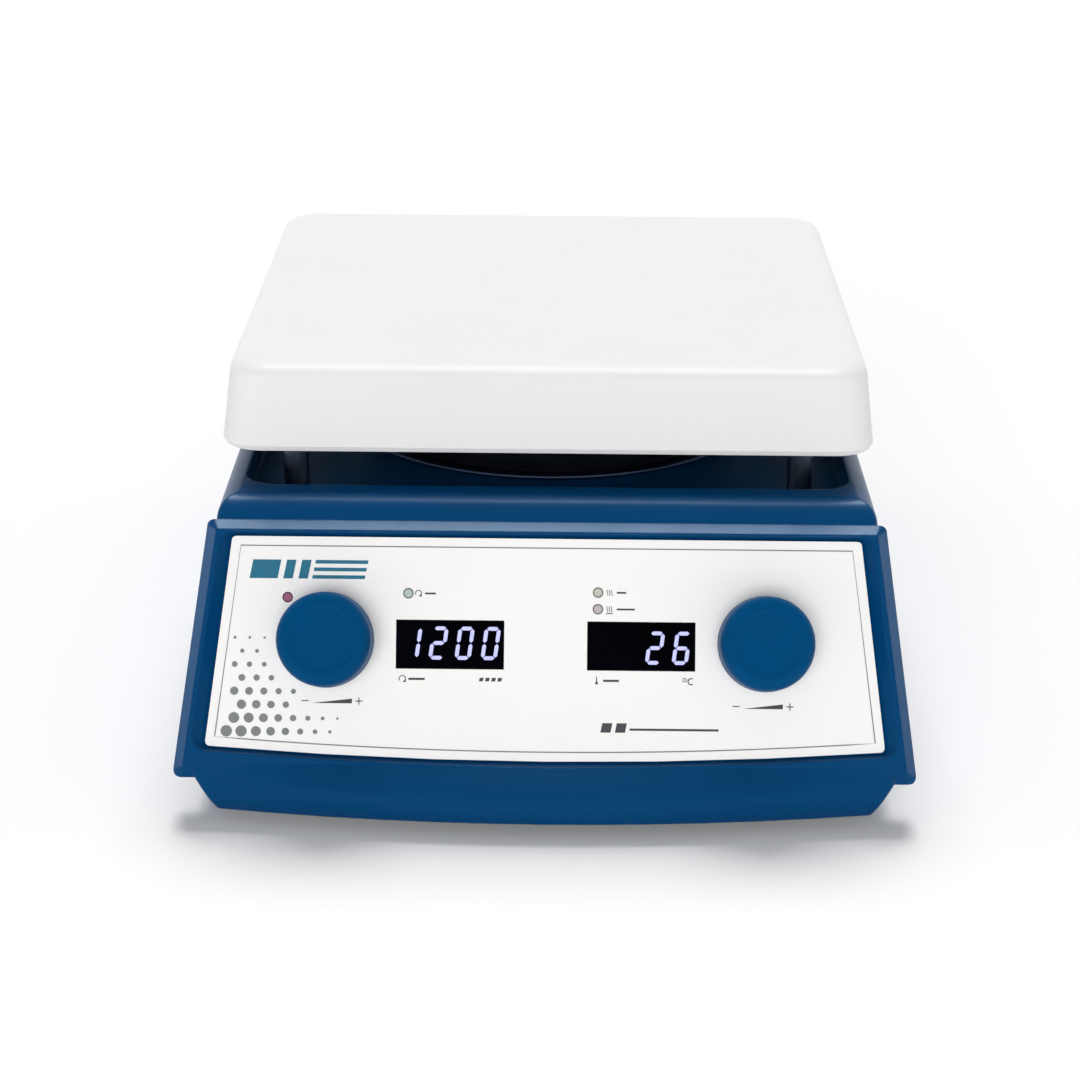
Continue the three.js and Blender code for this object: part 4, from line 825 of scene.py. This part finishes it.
def soft_light(name, azimuth, elevation, spread, irradiance, fills=True, mirrored=True, only=None):
    """A broad, even light from one side: azimuth 0 comes from the front, 90 from the right. One
    that doesn't fill shows in gloss alone, one that isn't mirrored only fills, and only names
    the single piece that it reaches."""
    light = bpy.data.lights.new(name, "SUN")
    light.angle = math.radians(spread)
    light.energy = irradiance
    lamp = bpy.data.objects.new(name, light)
    lamp.visible_diffuse = fills
    lamp.visible_glossy = mirrored
    if only:
        receivers = bpy.data.collections.new(f"{name}_receivers")
        receivers.objects.link(bpy.data.objects[only])
        lamp.light_linking.receiver_collection = receivers
    scene.collection.objects.link(lamp)
    a, e = math.radians(azimuth), math.radians(elevation)
    away = Vector((math.sin(a) * math.cos(e), -math.cos(a) * math.cos(e), math.sin(e)))
    lamp.location = away * 3000 * MM    # without effect on its light, and clear of the part
    lamp.rotation_euler = away.to_track_quat("Z", "Y").to_euler()


def camera():
    """The photograph's viewpoint, fitted to the plate's and the panel's corners."""
    focal_px, frame_px = 2733.5, 1080
    eye_mm = Vector((3.23, -823.2, 339.72))
    yaw, pitch, roll = (math.radians(angle) for angle in (-0.41, 20.42, 0.43))
    lens = bpy.data.cameras.new("camera")
    lens.sensor_width = 36.0
    lens.lens = focal_px / frame_px * lens.sensor_width
    lens.clip_start, lens.clip_end = 10 * MM, 100000 * MM
    eye = bpy.data.objects.new("camera", lens)
    scene.collection.objects.link(eye)
    ahead = Vector((math.sin(yaw) * math.cos(pitch), math.cos(yaw) * math.cos(pitch),
                    -math.sin(pitch)))
    level = Vector((math.cos(yaw), -math.sin(yaw), 0))
    upright = level.cross(ahead)
    right = math.cos(roll) * level + math.sin(roll) * upright
    up = -math.sin(roll) * level + math.cos(roll) * upright
    turn = Matrix((right, up, -ahead)).transposed().to_4x4()
    eye.matrix_world = Matrix.Translation(eye_mm * MM) @ turn
    scene.camera = eye


floor()
world()
soft_light("top_light", 180, 60, 30, 2.3, mirrored=False)
soft_light("top_box", 180, 60, 21, 3.6, fills=False, only="housing")
soft_light("front_light", -6, 12, 40, 1.82, mirrored=False)
soft_light("plate_box", 0, 74, 40, 2.7, fills=False, only="plate_enamelled")
for side, azimuth in (("left", -97), ("right", 97)):
    soft_light(f"{side}_light", azimuth, 5, 18, 0.26, mirrored=False)
    soft_light(f"{side}_box", azimuth, 5, 18, 0.4, fills=False, only="housing")
camera()
scene.view_settings.view_transform = "Standard"
